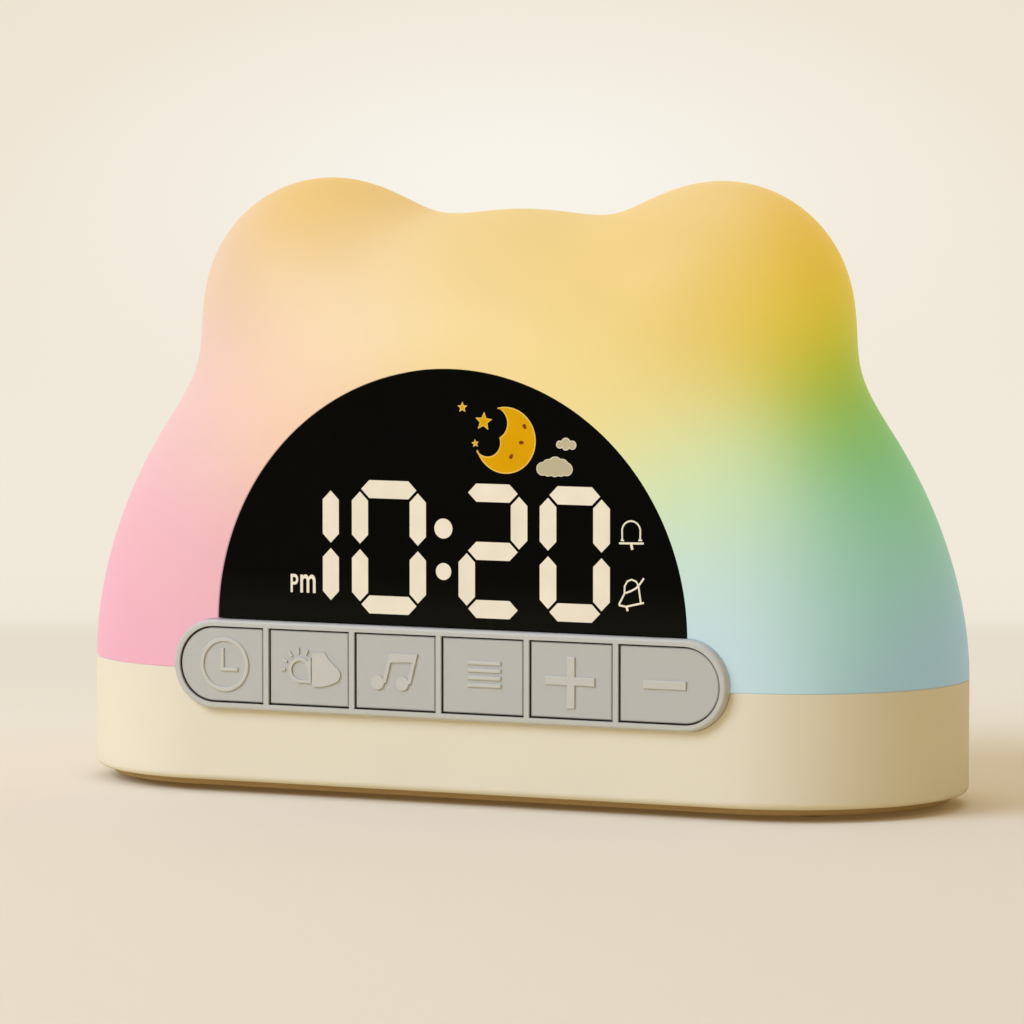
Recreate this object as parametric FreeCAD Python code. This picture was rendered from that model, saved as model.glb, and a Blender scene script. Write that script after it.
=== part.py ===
"""Bear-eared night light alarm clock, built piece by piece, in millimetres.

The front of the clock faces -Y, its length lies along X, and its feet stand on Z = 0.
"""
import FreeCAD, Part
import math
import os

Vector = FreeCAD.Vector

# Outer body
LENGTH = 190.0
END_RADIUS = 35.4
WALL = 2.2
RIM_Z = 2.6
SEAM_Z = 25.6

# Night light shade
SHADE_TOP = 118.7
OUTLINE_POWER = 1.87
EAR_X = 44.0
EAR_Z = 97.9
EAR_RADIUS = 26.8
EAR_HALF_DEPTH = 24.9
EAR_BLEND = 17.6
SKIRT_DEPTH = 3.0
SKIRT_THICKNESS = 1.5

# Clearances and thicknesses shared by several pieces
SLIP = 0.2
POCKET_GAP = 0.1
SCREW_GAP = 0.05
BOARD = 1.6

# Base and bottom cover
BASE_ROUND = 1.4
LIP_INSET = 10.0
LIP = 2.2
COVER = 2.6
COVER_FACE_Z = 1.2
COVER_INSET = 3.4
FOOT_RADIUS = 5.0
FOOT_RECESS = 0.8
FOOT_PAST_STRAIGHT = 10.4
FOOT_Y = 15.0

# Screws
SHANK_RADIUS = 1.1
HEAD_RADIUS = 2.2
HEAD_HEIGHT = 1.4
BOSS_RADIUS = 3.25
SCREW_INSET = 7.6
COVER_SCREW_STEP = 4.6
DECK_SCREW_ANGLE = 55.0
REAR_SCREW_X = 4.0

# Display
DISPLAY_Z = 35.4
LENS_INSIDE_BAR = 9.25
LENS_INSET = 0.2
LENS_EDGE = 0.15
LENS_PLATE = 2.2
LENS_FLANGE = 1.0
LENS_LIP = 1.8
LIGHT_BOX_INSET = 2.1
LIGHT_BOX_DEPTH = 7.0
DIFFUSER = 1.2

# Display picture, as drawn for a lens of the radius named first
DRAWN_RADIUS = 52.1
DIGIT_MID_Z = 51.45
DIGIT_HALF_HEIGHT = 11.5
SEGMENT_WIDTH = 3.7
SEGMENT_GAP = 0.7
DIGIT_HALF_WIDTH = 5.8
HOUR_HALF_WIDTH = 6.4
TENS_X = -32.4
HOUR_X = -13.5
MINUTE_TENS_X = 9.6
MINUTE_X = 27.65
COLON_X = -1.3
COLON_STEP = 4.35
COLON_RADIUS = 2.0
MOON_WELL = (9.9, 75.0, 8.6)
CLOUD_WELL = (24.6, 71.0, 5.0)
BELL_X = 39.8
BELL_UPPER_Z = 55.6
BELL_LOWER_Z = 43.8
BELL_WELL = 4.0
PM_WELL = (-33.2, 43.6, 3.6)
SCREW_DRAWN_X = 36.0
SCREW_DRAWN_Z = 39.0

# Button bar
BAR_PAST_STRAIGHT = 1.75
BAR_RADIUS = 9.125
BAR_Z = 26.6
BAR_PROUD = 1.9
BEZEL_BORDER = 1.35
BEZEL_PLATE = 2.4
BEZEL_WALL = 0.6
DIVIDER = 1.1
RIB = 0.6
END_KEY_EXTRA = 2.27
KEY_SHIFT = -1.3
KEY_GAP = 0.3
KEY_SET_BACK = 0.35
SIGN_EDGE = 0.14
KEY_LIP = 0.75
KEY_FLANGE = 1.2
STROKE = 0.75
SIGN_BAR = 0.87
PLUNGER_RADIUS = 1.6
PLUNGER_GAP = 0.08
SWITCH = 6.0
SWITCH_HEIGHT = 3.5
BEZEL_FLANGE_DROP = 10.4
KEY_BOARD_PAST_BAR = 4.15
KEY_BOARD_HALF_HEIGHT = 8.5
KEY_BOARD_SCREW_STEP = 2.05

# Inner deck and boards
DECK_Z = 19.6
DECK = 2.0
NOTCH_PAST_BAR = 6.15
UPRIGHT = 3.0
UPRIGHT_PAST_SCREW = 6.5
LIGHT_BOARD_PAST_STRAIGHT = 5.4
LIGHT_BOARD_DEPTH = 30.0
LIGHT_BOARD_Y = 10.0
STANDOFF = 1.6
MAIN_BOARD_Z = 10.4
MAIN_BOARD_STEP = 16.6
MAIN_BOARD_WIDTH = 38.0
MAIN_BOARD_DEPTH = 44.5
SOCKET_HALF_HEIGHT = 1.6

# Loudspeaker and battery
SPEAKER_X = 2.0
SPEAKER_RADIUS = 18.0
SPEAKER_SEAT = 1.8
BATTERY_LENGTH = 50.0
BATTERY_DEPTH = 34.0
BATTERY_HEIGHT = 10.0
BATTERY_ROOM = 5.0

# Values that follow from the ones above
HALF_STRAIGHT = LENGTH / 2 - END_RADIUS
BAR_HALF = HALF_STRAIGHT + BAR_PAST_STRAIGHT
LENS_RADIUS = BAR_HALF - LENS_INSIDE_BAR
LIGHT_BOX_RADIUS = LENS_RADIUS - LIGHT_BOX_INSET
DRAWN_SCALE = LENS_RADIUS / DRAWN_RADIUS
UPRIGHT_X = SCREW_DRAWN_X * DRAWN_SCALE
FRONT = -END_RADIUS
BAR_FRONT = FRONT - BAR_PROUD
KEY_FACE = BAR_FRONT + KEY_SET_BACK
PLATE_BACK = BAR_FRONT + BEZEL_PLATE
FLANGE_FRONT = PLATE_BACK + 0.05
POST_END = FLANGE_FRONT + 2.9
SWITCH_FRONT = POST_END + 1.0
KEY_BOARD_FRONT = SWITCH_FRONT + SWITCH_HEIGHT
KEY_BOARD_BACK = KEY_BOARD_FRONT + BOARD
LENS_FRONT = FRONT + LENS_INSET
LENS_BACK = LENS_FRONT + LENS_PLATE + LENS_FLANGE
LIGHT_BOX_FRONT = LENS_BACK + SLIP
LIGHT_BOX_BACK = LIGHT_BOX_FRONT + LIGHT_BOX_DEPTH
DISPLAY_BACK = LIGHT_BOX_BACK + BOARD
COVER_TOP_Z = COVER_FACE_Z + COVER
LIP_TOP_Z = COVER_TOP_Z + LIP
DECK_TOP_Z = DECK_Z + DECK
BAR_TOP_Z = BAR_Z + BAR_RADIUS
KEY_PITCH = (2 * (BAR_HALF - BEZEL_BORDER) + DIVIDER - 2 * END_KEY_EXTRA) / 6
KEY_BOARD_HALF = BAR_HALF + KEY_BOARD_PAST_BAR
NOTCH_HALF = BAR_HALF + NOTCH_PAST_BAR
LIGHT_BOARD_HALF = HALF_STRAIGHT + LIGHT_BOARD_PAST_STRAIGHT
LIGHT_BOARD_Z = DECK_TOP_Z + STANDOFF
MAIN_BOARD_X = MAIN_BOARD_STEP - HALF_STRAIGHT
MAIN_BOARD_BACK = END_RADIUS - SCREW_INSET + 3.7
SOCKET_Z = MAIN_BOARD_Z - SOCKET_HALF_HEIGHT
BATTERY_X = SPEAKER_X + SPEAKER_RADIUS + BATTERY_ROOM + BATTERY_LENGTH / 2
MIDDLE_Y_SHIFT = BAR_PROUD / 2


def box(x0, x1, y0, y1, z0, z1):
    """Return a block from its two corners."""
    return Part.makeBox(x1 - x0, y1 - y0, z1 - z0, Vector(x0, y0, z0))


def rod(x, y, z0, z1, radius):
    """Return an upright cylinder."""
    return Part.makeCylinder(radius, z1 - z0, Vector(x, y, z0), Vector(0, 0, 1))


def rod_back(x, z, y0, y1, radius):
    """Return a cylinder that lies front to back."""
    return Part.makeCylinder(radius, y1 - y0, Vector(x, y0, z), Vector(0, 1, 0))


def join(shapes):
    """Fuse touching shapes into one solid."""
    shapes = list(shapes)
    return shapes[0].multiFuse(shapes[1:]).removeSplitter()


def group(shapes):
    """Keep separate solids together in one piece."""
    return Part.makeCompound(list(shapes))


def cut(shape, tools):
    """Cut a list of tools from a shape."""
    return shape.cut(Part.makeCompound(list(tools)))


def plan_prism(inset, z0, z1, shorter=0.0):
    """Return the stadium footprint, shrunk by an inset and shortened, as an upright prism."""
    radius = END_RADIUS - inset
    half = HALF_STRAIGHT - shorter
    block = box(-half, half, -radius, radius, z0, z1)
    ends = [rod(side * half, 0, z0, z1, radius) for side in (-1, 1)]
    return join([block] + ends)


def bar_prism(inset, y0, y1):
    """Return the button bar's stadium, shrunk by an inset, as a prism front to back."""
    radius = BAR_RADIUS - inset
    middle = BAR_HALF - BAR_RADIUS
    block = box(-middle, middle, y0, y1, BAR_Z - radius, BAR_Z + radius)
    ends = [rod_back(side * middle, BAR_Z, y0, y1, radius) for side in (-1, 1)]
    return join([block] + ends)


def half_disc(radius, y0, y1, floor_z):
    """Return the display's half-round shape with its straight edge at floor_z."""
    disc = rod_back(0, DISPLAY_Z, y0, y1, radius)
    if floor_z < DISPLAY_Z:
        disc = join([disc, box(-radius, radius, y0, y1, floor_z, DISPLAY_Z)])
    return disc.common(box(-radius, radius, y0, y1, floor_z, DISPLAY_Z + radius))


def polygon_prism(points, y0, y1):
    """Return a prism front to back from (x, z) corners."""
    corners = [Vector(x, y0, z) for x, z in points]
    face = Part.Face(Part.makePolygon(corners + corners[:1]))
    return face.extrude(Vector(0, y1 - y0, 0))


def screw(place, direction, length):
    """Return a pan head screw whose head rests at place and whose shank runs in direction."""
    way = Vector(*direction)
    seat = Vector(*place)
    shank = Part.makeCylinder(SHANK_RADIUS, length, seat, way)
    top = seat - way * HEAD_HEIGHT
    head = Part.makeCylinder(HEAD_RADIUS, HEAD_HEIGHT, top, way)
    drive = Part.makeCylinder(HEAD_RADIUS / 2, HEAD_HEIGHT / 2, top, way)
    body = join([shank, head.cut(drive)])
    return body


def body_radius(alpha):
    """Return the shade outline's distance from the middle of the seam at an angle."""
    across = abs(math.cos(alpha)) / (LENGTH / 2)
    rise = max(math.sin(alpha), 0.0) / (SHADE_TOP - SEAM_Z)
    return (across ** OUTLINE_POWER + rise ** OUTLINE_POWER) ** (-1 / OUTLINE_POWER)


def shade_level(x, y, z):
    """Return how far a point lies outside the pillow with its two blended ears."""
    across = abs(x)
    rise = max(z - SEAM_Z, 0.0)
    reach = math.hypot(across, rise)
    past = reach - body_radius(math.atan2(rise, across)) + END_RADIUS
    pillow = math.hypot(max(past, 0.0), y) - END_RADIUS
    dx = across - EAR_X
    dz = z - EAR_Z
    scaled = math.sqrt((dx ** 2 + dz ** 2) / EAR_RADIUS ** 2 + (y / EAR_HALF_DEPTH) ** 2)
    slope = math.sqrt((dx ** 2 + dz ** 2) / EAR_RADIUS ** 4 + y ** 2 / EAR_HALF_DEPTH ** 4)
    ear = scaled * (scaled - 1) / max(slope, 1e-9)
    share = max(EAR_BLEND - abs(pillow - ear), 0.0) / EAR_BLEND
    return min(pillow, ear) - share ** 3 * EAR_BLEND / 6


def skin_point(alpha, theta, depth):
    """Return the point of the shade's skin at a depth below its outer surface."""
    core = body_radius(alpha) - END_RADIUS
    if math.sin(alpha) < 0:
        core = HALF_STRAIGHT / abs(math.cos(alpha))
    if abs(theta) > math.pi / 2 - 1e-9:
        side = math.copysign(END_RADIUS - depth, theta)
        return Vector(core * math.cos(alpha), side, SEAM_Z + core * math.sin(alpha))
    near = 0.0
    far = 2.2 * END_RADIUS
    for _ in range(36):
        middle = (near + far) / 2
        reach = core + middle * math.cos(theta)
        place = (reach * math.cos(alpha), middle * math.sin(theta), SEAM_Z + reach * math.sin(alpha))
        if shade_level(*place) < -depth:
            near = middle
        else:
            far = middle
    return Vector(*place)


def skin_solid(depth):
    """Return the solid inside the shade's skin at a depth, closed just below the seam."""
    low = math.radians(-2.0)
    steps = 56
    slices = 18
    rows = []
    for i in range(steps + 1):
        alpha = low + (math.pi - 2 * low) * i / steps
        rows.append([skin_point(alpha, math.pi * (j / slices - 0.5), depth) for j in range(slices + 1)])
    surface = woven_surface(rows)
    skin = surface.toShape()
    first_u, last_u, first_v, last_v = surface.bounds()
    faces = [skin]
    for value in (first_v, last_v):
        edge = surface.vIso(value).toShape()
        faces.append(planar_cap(edge))
    for value in (first_u, last_u):
        edge = surface.uIso(value).toShape()
        faces.append(planar_cap(edge))
    corners = [rows[0][0], rows[0][-1], rows[-1][-1], rows[-1][0]]
    faces.append(Part.Face(Part.makePolygon(corners + corners[:1])))
    shell = Part.Shell(faces)
    shell.sewShape()
    solid = Part.Solid(shell.Shells[0] if shell.ShapeType != "Shell" else shell)
    if solid.Volume < 0:
        solid.reverse()
    return solid


def spline_through(points):
    """Return the cubic curve through points at evenly spaced parameters."""
    last = len(points) - 1
    curve = Part.BSplineCurve()
    curve.interpolate(Points=points, Parameters=[i / last for i in range(last + 1)])
    return curve


def woven_surface(rows):
    """Return the cubic surface through a grid of points, first across and then along."""
    across = [spline_through(row) for row in rows]
    columns = zip(*[curve.getPoles() for curve in across])
    along = [spline_through(list(column)) for column in columns]
    poles = [list(line) for line in zip(*[curve.getPoles() for curve in along])]
    surface = Part.BSplineSurface()
    surface.buildFromPolesMultsKnots(
        poles,
        along[0].getMultiplicities(), across[0].getMultiplicities(),
        along[0].getKnots(), across[0].getKnots(),
        False, False, 3, 3,
    )
    return surface


def planar_cap(edge):
    """Close a plane curve with a straight line and return the face inside."""
    start = edge.valueAt(edge.FirstParameter)
    end = edge.valueAt(edge.LastParameter)
    return Part.Face(Part.Wire([edge, Part.makeLine(end, start)]))


def upper_half():
    """Return a block that holds everything above the seam."""
    return box(-LENGTH, LENGTH, -LENGTH, LENGTH, SEAM_Z, 2 * LENGTH)


def night_light_shade():
    """Return the translucent shell with its skirt, display window and bar pocket."""
    outer = skin_solid(0.0).common(upper_half())
    shell = outer.cut(skin_solid(WALL))
    skirt_out = WALL + SLIP
    skirt_in = skirt_out + SKIRT_THICKNESS
    skirt = plan_prism(skirt_out, SEAM_Z - SKIRT_DEPTH, SEAM_Z + 2.0)
    skirt = skirt.cut(plan_prism(skirt_in, SEAM_Z - SKIRT_DEPTH, SEAM_Z + 2.0))
    ledge = plan_prism(WALL - 0.4, SEAM_Z, SEAM_Z + 2.0)
    ledge = ledge.cut(plan_prism(skirt_in, SEAM_Z, SEAM_Z + 2.0))
    nibs = [snap(x, 0.0) for x in snap_places()]
    lower = join([skirt, ledge] + nibs)
    lower = lower.cut(box(-NOTCH_HALF, NOTCH_HALF, FRONT, KEY_BOARD_BACK + 5, 0, SHADE_TOP))
    shell = join([shell, lower])
    window = half_disc(LENS_RADIUS + POCKET_GAP, FRONT - 1, KEY_BOARD_BACK, BAR_Z)
    pocket = bar_prism(-POCKET_GAP, FRONT - 1, KEY_BOARD_BACK)
    return cut(shell, [window, pocket])


def snap_places():
    """Return where the two snap nibs stand along X."""
    return [side * (HALF_STRAIGHT - 24.6) for side in (-1, 1)]


def snap(x, grow):
    """Return one snap nib of the shade's skirt, or its groove when grown."""
    y0 = END_RADIUS - WALL - SLIP - 0.4
    y1 = END_RADIUS - WALL + 0.5 + grow / 2
    z = SEAM_Z - SKIRT_DEPTH / 2
    return box(x - 5 - grow, x + 5 + grow, y0, y1, z - 0.6 - grow / 2, z + 0.6 + grow / 2)


def base_housing():
    """Return the base tub with its lip, bosses, bar notch and socket opening."""
    tub = plan_prism(0, RIM_Z, SEAM_Z)
    rim = [e for e in tub.Edges if e.BoundBox.ZMax < RIM_Z + 0.01]
    tub = tub.makeFillet(BASE_ROUND, rim)
    top = [e for e in tub.Edges if e.BoundBox.ZMin > SEAM_Z - 0.01]
    tub = tub.makeChamfer(0.3, top)
    tub = cut(tub, [
        plan_prism(WALL, LIP_TOP_Z, SEAM_Z + 1),
        plan_prism(LIP_INSET, RIM_Z - 1, SEAM_Z),
        plan_prism(COVER_INSET - SLIP, RIM_Z - 1, COVER_TOP_Z),
    ])
    bosses = [rod(x, y, COVER_TOP_Z, 9.0, BOSS_RADIUS) for x, y in cover_screw_places()]
    posts = [rod(x, y, COVER_TOP_Z, DECK_Z, BOSS_RADIUS) for x, y in deck_screw_places()]
    tub = join([tub] + bosses + posts)
    holes = [rod(x, y, COVER_TOP_Z - 1, 8.5, SHANK_RADIUS + SCREW_GAP) for x, y in cover_screw_places()]
    holes += [rod(x, y, DECK_Z - 8, DECK_Z + 1, SHANK_RADIUS + SCREW_GAP) for x, y in deck_screw_places()]
    holes.append(bar_prism(-POCKET_GAP, FRONT - 1, FRONT + 2 * WALL + 1))
    holes += [snap(x, 0.3) for x in snap_places()]
    holes.append(socket_shape(4.75, SOCKET_HALF_HEIGHT + 0.3, END_RADIUS - 5, END_RADIUS + 1))
    holes.append(socket_shape(6.4, 3.5, END_RADIUS - 0.9, END_RADIUS + 1))
    return cut(tub, holes)


def socket_shape(half_width, half_height, y0, y1):
    """Return a rounded slot that runs front to back at the power socket."""
    z = SOCKET_Z
    x = MAIN_BOARD_X
    middle = half_width - half_height
    block = box(x - middle, x + middle, y0, y1, z - half_height, z + half_height)
    ends = [rod_back(x + side * middle, z, y0, y1, half_height) for side in (-1, 1)]
    return join([block] + ends)


def cover_screw_places():
    """Return where the four cover screws stand."""
    x = HALF_STRAIGHT - COVER_SCREW_STEP
    y = END_RADIUS - SCREW_INSET
    return [(side * x, end * y) for side in (-1, 1) for end in (-1, 1)]


def deck_screw_places():
    """Return where the five deck screws stand."""
    reach = END_RADIUS - SCREW_INSET
    x = HALF_STRAIGHT + reach * math.cos(math.radians(DECK_SCREW_ANGLE))
    y = reach * math.sin(math.radians(DECK_SCREW_ANGLE))
    return [(side * x, end * y) for side in (-1, 1) for end in (-1, 1)] + [(REAR_SCREW_X, reach)]


def foot_places():
    """Return where the four feet stand."""
    x = HALF_STRAIGHT + FOOT_PAST_STRAIGHT
    return [(side * x, end * FOOT_Y) for side in (-1, 1) for end in (-1, 1)]


def bottom_cover():
    """Return the inset plinth with its speaker slots, screw recesses and fences."""
    plate = plan_prism(COVER_INSET, COVER_FACE_Z, COVER_TOP_Z)
    edge = [e for e in plate.Edges if e.BoundBox.ZMax < COVER_FACE_Z + 0.01]
    plate = plate.makeFillet(0.6, edge)
    seat = rod(SPEAKER_X, 0, COVER_TOP_Z - 0.1, COVER_TOP_Z + 3.0, SPEAKER_RADIUS + SPEAKER_SEAT)
    seat = seat.cut(rod(SPEAKER_X, 0, COVER_TOP_Z + 1.4, COVER_TOP_Z + 4, SPEAKER_RADIUS + 0.3))
    seat = seat.cut(rod(SPEAKER_X, 0, 0, COVER_TOP_Z + 2, SPEAKER_RADIUS - SPEAKER_SEAT))
    half_x = BATTERY_LENGTH / 2 + 0.3
    half_y = BATTERY_DEPTH / 2 + 0.3
    fences = []
    for side in (-1, 1):
        fences.append(fence(BATTERY_X - 6, BATTERY_X + 6, side * half_y, side * (half_y + 1.2)))
    fences.append(fence(BATTERY_X + half_x, BATTERY_X + half_x + 1.2, -6, 6))
    fences.append(fence(BATTERY_X - half_x - 0.9, BATTERY_X - half_x, -16, -11))
    plate = join([plate, seat] + fences)
    tools = []
    for x, y in cover_screw_places():
        tools.append(rod(x, y, 0, COVER_FACE_Z + HEAD_HEIGHT + 0.1, HEAD_RADIUS + 0.4))
        tools.append(rod(x, y, 0, COVER_TOP_Z + 1, SHANK_RADIUS + 0.3))
    for x, y in foot_places():
        tools.append(rod(x, y, 0, COVER_FACE_Z + FOOT_RECESS, FOOT_RADIUS + 0.1))
    field = SPEAKER_RADIUS - 2 * SPEAKER_SEAT
    for i in range(-3, 4):
        y = i * field * 0.28
        half = math.sqrt(field ** 2 - y ** 2)
        tools.append(box(SPEAKER_X - half, SPEAKER_X + half, y - 0.9, y + 0.9, 0, COVER_TOP_Z + 1))
    return cut(plate, tools)


def fence(x0, x1, y_a, y_b):
    """Return one low wall that keeps the battery in place."""
    return box(x0, x1, min(y_a, y_b), max(y_a, y_b), COVER_TOP_Z - 0.1, COVER_TOP_Z + 5)


def rubber_feet():
    """Return the four feet."""
    feet = []
    for x, y in foot_places():
        foot = rod(x, y, 0, COVER_FACE_Z + FOOT_RECESS, FOOT_RADIUS)
        edge = [e for e in foot.Edges if e.BoundBox.ZMax < 0.01]
        feet.append(foot.makeFillet(0.5, edge))
    return group(feet)


def inner_deck():
    """Return the chassis plate with its posts, display uprights and light board stand-offs."""
    plate = plan_prism(WALL + 0.3, DECK_Z, DECK_TOP_Z)
    notch_back = KEY_BOARD_BACK + HEAD_HEIGHT + 0.1
    plate = plate.cut(box(-NOTCH_HALF, NOTCH_HALF, FRONT, notch_back, DECK_Z - 1, DECK_TOP_Z + 1))
    pieces = [plate]
    upright_top = drawn_height(DIGIT_MID_Z) + UPRIGHT_PAST_SCREW
    for x in (-UPRIGHT_X, UPRIGHT_X):
        y0 = DISPLAY_BACK + SLIP
        pieces.append(box(x - 6, x + 6, y0, y0 + UPRIGHT, DECK_TOP_Z - 0.1, upright_top))
        pieces += [gusset(x + dx, y0 + UPRIGHT, upright_top - 6) for dx in (-5.2, 3.6)]
    for x, y in light_board_places():
        pieces.append(rod(x, y, DECK_TOP_Z - 0.1, LIGHT_BOARD_Z, BOSS_RADIUS))
    for x, y in main_board_places():
        pieces.append(rod(x, y, MAIN_BOARD_Z + BOARD, DECK_Z + 0.1, 2.5))
    deck = join(pieces)
    hole = SHANK_RADIUS + SCREW_GAP
    tools = [rod(x, y, DECK_Z - 1, DECK_TOP_Z + 1, hole) for x, y in deck_screw_places()]
    tools += [rod(x, y, DECK_TOP_Z - 1.5, DECK_TOP_Z + 2, hole) for x, y in light_board_places()]
    tools += [rod(x, y, MAIN_BOARD_Z, MAIN_BOARD_Z + 7, hole) for x, y in main_board_places()]
    tools += [rod_back(x, z, DISPLAY_BACK, DISPLAY_BACK + 6, hole) for x, z in display_screw_places()]
    return cut(deck, tools)


def gusset(x, y, top):
    """Return one rib that props a display upright from behind."""
    low = DECK_TOP_Z - 0.1
    corners = [Vector(x, y - 0.1, low), Vector(x, y + 8, low), Vector(x, y - 0.1, top)]
    return Part.Face(Part.makePolygon(corners + corners[:1])).extrude(Vector(1.6, 0, 0))


def light_board_places():
    """Return where the light board's four screws stand."""
    x = LIGHT_BOARD_HALF - 5
    y = LIGHT_BOARD_DEPTH / 2 - 4
    return [(side * x, LIGHT_BOARD_Y + end * y) for side in (-1, 1) for end in (-1, 1)]


def main_board_places():
    """Return where the main board's four screws stand."""
    x = MAIN_BOARD_WIDTH / 2 - 2.5
    ends = (MAIN_BOARD_BACK - 7.5, MAIN_BOARD_BACK - MAIN_BOARD_DEPTH + 3)
    return [(MAIN_BOARD_X + side * x, y) for side in (-1, 1) for y in ends]


def display_screw_places():
    """Return where the four display screws stand, as (x, z)."""
    heights = [drawn_height(z) for z in (SCREW_DRAWN_Z, DIGIT_MID_Z)]
    return [(x, z) for x in (-UPRIGHT_X, UPRIGHT_X) for z in heights]


def light_board():
    """Return the lamp board."""
    z = LIGHT_BOARD_Z
    half = LIGHT_BOARD_DEPTH / 2
    board = box(-LIGHT_BOARD_HALF, LIGHT_BOARD_HALF, LIGHT_BOARD_Y - half, LIGHT_BOARD_Y + half, z, z + BOARD)
    return cut(board, [rod(x, y, z - 1, z + 3, SHANK_RADIUS + 0.1) for x, y in light_board_places()])


def colour_leds():
    """Return the nine colour lamps on the light board."""
    z = LIGHT_BOARD_Z + BOARD
    y = LIGHT_BOARD_Y
    lamps = []
    for i in range(-4, 5):
        x = i * (LIGHT_BOARD_HALF - 13) / 4
        lamp = box(x - 2.5, x + 2.5, y - 2.5, y + 2.5, z, z + 1.6)
        lamps.append(lamp.cut(rod(x, y, z + 1.1, z + 2, 1.9)))
    return group(lamps)


def display_lens():
    """Return the dark half-round window with its rear flange."""
    floor_z = BAR_TOP_Z + SLIP
    plate = half_disc(LENS_RADIUS, LENS_FRONT, LENS_FRONT + LENS_PLATE, floor_z)
    rim = [e for e in plate.Edges if e.BoundBox.YMax < LENS_FRONT + 0.01]
    plate = plate.makeChamfer(LENS_EDGE, rim)
    flange = half_disc(LENS_RADIUS + LENS_LIP, LENS_FRONT + LENS_PLATE, LENS_BACK, floor_z)
    flange = flange.common(skin_solid(WALL + POCKET_GAP))
    return join([plate, flange])


def hexagon(x, z, half_long, half_wide, upright, y0, y1):
    """Return one pointed segment of a digit as a prism."""
    flat = half_long - half_wide
    points = [(-half_long, 0), (-flat, half_wide), (flat, half_wide)]
    points += [(half_long, 0), (flat, -half_wide), (-flat, -half_wide)]
    if upright:
        points = [(b, a) for a, b in points]
    return polygon_prism([(x + a, z + b) for a, b in points], y0, y1)


def drawn_height(z):
    """Return the real height of a place in the display picture."""
    return DISPLAY_Z + (z - DISPLAY_Z) * DRAWN_SCALE


def digit_segments(drawn_x, drawn_half_width, names, shrink, y0, y1):
    """Return the named segments of one digit, each shrunk by a clearance."""
    middle = drawn_x * DRAWN_SCALE
    half_width = drawn_half_width * DRAWN_SCALE
    half_height = DIGIT_HALF_HEIGHT * DRAWN_SCALE
    half_gap = SEGMENT_GAP * DRAWN_SCALE / 2
    wide = SEGMENT_WIDTH * DRAWN_SCALE / 2 - shrink
    tall = half_height / 2 - half_gap - shrink
    broad = half_width - half_gap - shrink
    solids = []
    for name in names:
        if name in "agd":
            z = drawn_height(DIGIT_MID_Z) + {"a": 1, "g": 0, "d": -1}[name] * half_height
            solids.append(hexagon(middle, z, broad, wide, False, y0, y1))
        else:
            x = middle + (half_width if name in "bc" else -half_width)
            z = drawn_height(DIGIT_MID_Z) + (half_height if name in "bf" else -half_height) / 2
            solids.append(hexagon(x, z, tall, wide, True, y0, y1))
    return solids


def drawn_round(x, z, radius, shrink, y0, y1):
    """Return a round of the display picture as a rod front to back."""
    return rod_back(x * DRAWN_SCALE, drawn_height(z), y0, y1, radius * DRAWN_SCALE - shrink)


def all_segments(shrink, y0, y1):
    """Return the segments of the four digits and the two colon dots."""
    solids = digit_segments(TENS_X, DIGIT_HALF_WIDTH, "bc", shrink, y0, y1)
    solids += digit_segments(HOUR_X, HOUR_HALF_WIDTH, "abcdefg", shrink, y0, y1)
    solids += digit_segments(MINUTE_TENS_X, DIGIT_HALF_WIDTH, "abcdefg", shrink, y0, y1)
    solids += digit_segments(MINUTE_X, DIGIT_HALF_WIDTH, "abcdefg", shrink, y0, y1)
    for z in (DIGIT_MID_Z - COLON_STEP, DIGIT_MID_Z + COLON_STEP):
        solids.append(drawn_round(COLON_X, z, COLON_RADIUS, shrink, y0, y1))
    return solids


def icon_rounds(shrink, y0, y1):
    """Return the round light wells behind the small icons."""
    wells = [MOON_WELL, CLOUD_WELL, PM_WELL]
    wells += [(BELL_X, z, BELL_WELL) for z in (BELL_UPPER_Z, BELL_LOWER_Z)]
    return [drawn_round(*well, shrink, y0, y1) for well in wells]


def display_light_box():
    """Return the white block with one light well for each segment and icon."""
    block = half_disc(LIGHT_BOX_RADIUS, LIGHT_BOX_FRONT, LIGHT_BOX_BACK, BAR_TOP_Z + 0.6)
    tools = all_segments(0.0, LIGHT_BOX_FRONT - 1, LIGHT_BOX_BACK + 1)
    tools += icon_rounds(0.0, LIGHT_BOX_FRONT - 1, LIGHT_BOX_BACK + 1)
    hole = SHANK_RADIUS + SCREW_GAP
    for x, z in display_screw_places():
        tools.append(rod_back(x, z, LIGHT_BOX_BACK - 5, LIGHT_BOX_BACK + 1, hole))
    return cut(block, tools)


def segment_diffusers():
    """Return the light plates of the digits and the colon."""
    return group(all_segments(0.05, LIGHT_BOX_FRONT, LIGHT_BOX_FRONT + DIFFUSER))


def icon_diffusers():
    """Return the light plates behind the small icons."""
    return group(icon_rounds(0.05, LIGHT_BOX_FRONT, LIGHT_BOX_FRONT + DIFFUSER))


def display_board():
    """Return the board that closes the light box from behind."""
    board = half_disc(LIGHT_BOX_RADIUS, LIGHT_BOX_BACK, DISPLAY_BACK, BAR_TOP_Z + 0.6)
    y = LIGHT_BOX_BACK - 1
    return cut(board, [rod_back(x, z, y, y + 4, SHANK_RADIUS + 0.1) for x, z in display_screw_places()])


def display_leds():
    """Return one small lamp behind every segment and icon."""
    lamps = []
    for well in all_segments(0.0, 0, 1) + icon_rounds(0.0, 0, 1):
        middle = well.BoundBox.Center
        y1 = LIGHT_BOX_BACK
        lamps.append(box(middle.x - 0.8, middle.x + 0.8, y1 - 0.7, y1, middle.z - 0.8, middle.z + 0.8))
    return group(lamps)


def divider_places():
    """Return the middles of the bezel's five dividers."""
    return [KEY_SHIFT + i * KEY_PITCH for i in range(-2, 3)]


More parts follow.
